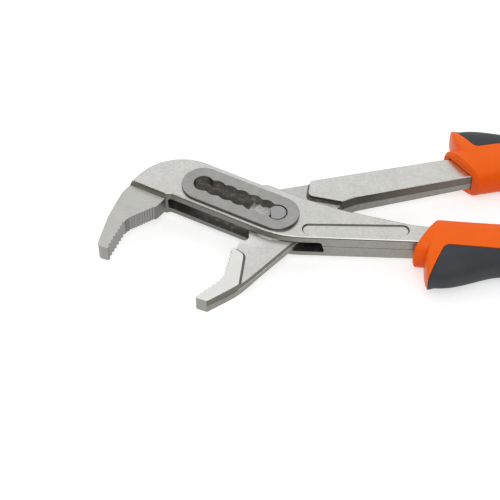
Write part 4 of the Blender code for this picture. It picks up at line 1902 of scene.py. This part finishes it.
@dataclass
class Studio:
    """A plain pale floor, soft light and the camera at the photograph's angle."""

    target: Place = (-11.48, -14.63, MID_HEIGHT)
    elevation: float = 49.0
    distance: float = 700.0
    lens: float = 121.0
    sensor: float = 36.0
    near_clip: float = 10.0
    floor_height: float = -1.46
    floor_size: float = 6000.0
    floor_grey: Colour = (0.69, 0.69, 0.69)
    floor_shade: float = 0.0145
    floor_cloud: Speckle = Speckle(0.02)
    floor_roughness: float = 0.9
    floor_glow: Colour = (0.54, 0.54, 0.54)
    seen_rays: tuple[str, str, str] = ("Is Camera Ray", "Is Glossy Ray", "Is Transmission Ray")
    sky: float = 0.89
    sky_front: float = 0.43
    sky_range: tuple[float, float] = (-0.45, 0.5)
    lamp_place: Place = (0.0, -620.0, 950.0)
    lamp_size: float = 1000.0
    lamp_power: float = 4.2

    def camera(self) -> None:
        """Set the camera."""
        data = bpy.data.cameras.new("camera")
        data.lens = self.lens
        data.sensor_width = self.sensor
        data.clip_start = self.near_clip * MM
        camera = bpy.data.objects.new("camera", data)
        tilt = radians(self.elevation)
        reach = Vector((0.0, -cos(tilt), sin(tilt))) * self.distance
        camera.location = (Vector(self.target) + reach) * MM
        camera.rotation_euler = (pi / 2 - tilt, 0.0, 0.0)
        bpy.context.scene.collection.objects.link(camera)
        bpy.context.scene.camera = camera

    def floor(self) -> None:
        """Lay the floor, which glows in the rays that show it, so that its grey reads as white."""
        bpy.ops.object.select_all(action="DESELECT")
        place = (0.0, 0.0, self.floor_height * MM)
        bpy.ops.mesh.primitive_plane_add(size=self.floor_size * MM, location=place)
        floor = bpy.context.object
        floor.name = "floor"
        sheet = ShaderSheet("studio_floor")
        cloud = sheet.noise(sheet.place(), self.floor_cloud)
        rays = [sheet.node("ShaderNodeLightPath", {}, ray) for ray in self.seen_rays]
        seen = rays[0] + rays[1] + rays[2]
        dressed = sheet.dress(
            Base_Color=sheet.mottle(cloud, self.floor_grey, self.floor_shade),
            Roughness=self.floor_roughness,
            Emission_Color=sheet.blend(seen, tinted(self.floor_glow, 0.0), tinted(self.floor_glow, 1.0)),
            Emission_Strength=1.0,
        )
        floor.data.materials.append(dressed)

    def lamp(self) -> None:
        """Hang a square soft lamp above and in front of the tool, facing its pin."""
        data = bpy.data.lights.new("soft_box", "AREA")
        data.size = self.lamp_size * MM
        data.energy = self.lamp_power
        lamp = bpy.data.objects.new("soft_box", data)
        lamp.location = Vector(self.lamp_place) * MM
        lamp.rotation_euler = (-lamp.location).to_track_quat("-Z", "Y").to_euler()
        bpy.context.scene.collection.objects.link(lamp)

    def light(self) -> None:
        """Set the sky, which is darker towards the front."""
        world = bpy.data.worlds.new("studio")
        world.use_nodes = True
        sky = NodeSheet(world.node_tree)
        way = sky.node("ShaderNodeTexCoord", {}, "Generated")
        depth = sky.node("ShaderNodeSeparateXYZ", {"Vector": way}, "Y")
        front, back = self.sky_range
        feeds = {"Value": depth, "From Min": front, "From Max": back}
        feeds |= {"To Min": self.sky_front, "To Max": self.sky}
        level = sky.node("ShaderNodeMapRange", feeds, interpolation_type="SMOOTHSTEP")
        background = world.node_tree.nodes["Background"]
        sky.feed(background.inputs["Color"], (1.0, 1.0, 1.0, 1.0))
        sky.feed(background.inputs["Strength"], level)
        bpy.context.scene.world = world

    def set_up(self) -> None:
        """Set the whole studio."""
        self.camera()
        self.floor()
        self.light()
        self.lamp()
        bpy.context.scene.view_settings.view_transform = "Standard"


def main() -> None:
    """Build the pliers and the studio."""
    logging.basicConfig(level=logging.INFO, format="%(name)s %(message)s")
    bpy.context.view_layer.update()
    finishes = Finishes()
    stops = StopLine()
    fixed_axis = GripAxis(start=(56.4, -10.2), angle=-7.0, side=-1, tang_half=4.9)
    moving_axis = GripAxis(start=(74.4, 27.8), angle=12.5, side=1, tang_half=6.3)
    fixed = FixedArm(stops, fixed_axis, finishes)
    moving = MovingArm(moving_axis, finishes)
    fixed.build()
    moving.build()
    PivotPin(finishes).build()
    Grip("fixed_grip", fixed_axis, Body.FIXED_ARM, finishes, fixed.section).build()
    Grip("moving_grip", moving_axis, Body.MOVING_ARM, finishes, moving.section).build()
    Studio().set_up()


if __name__ == "__main__":
    main()
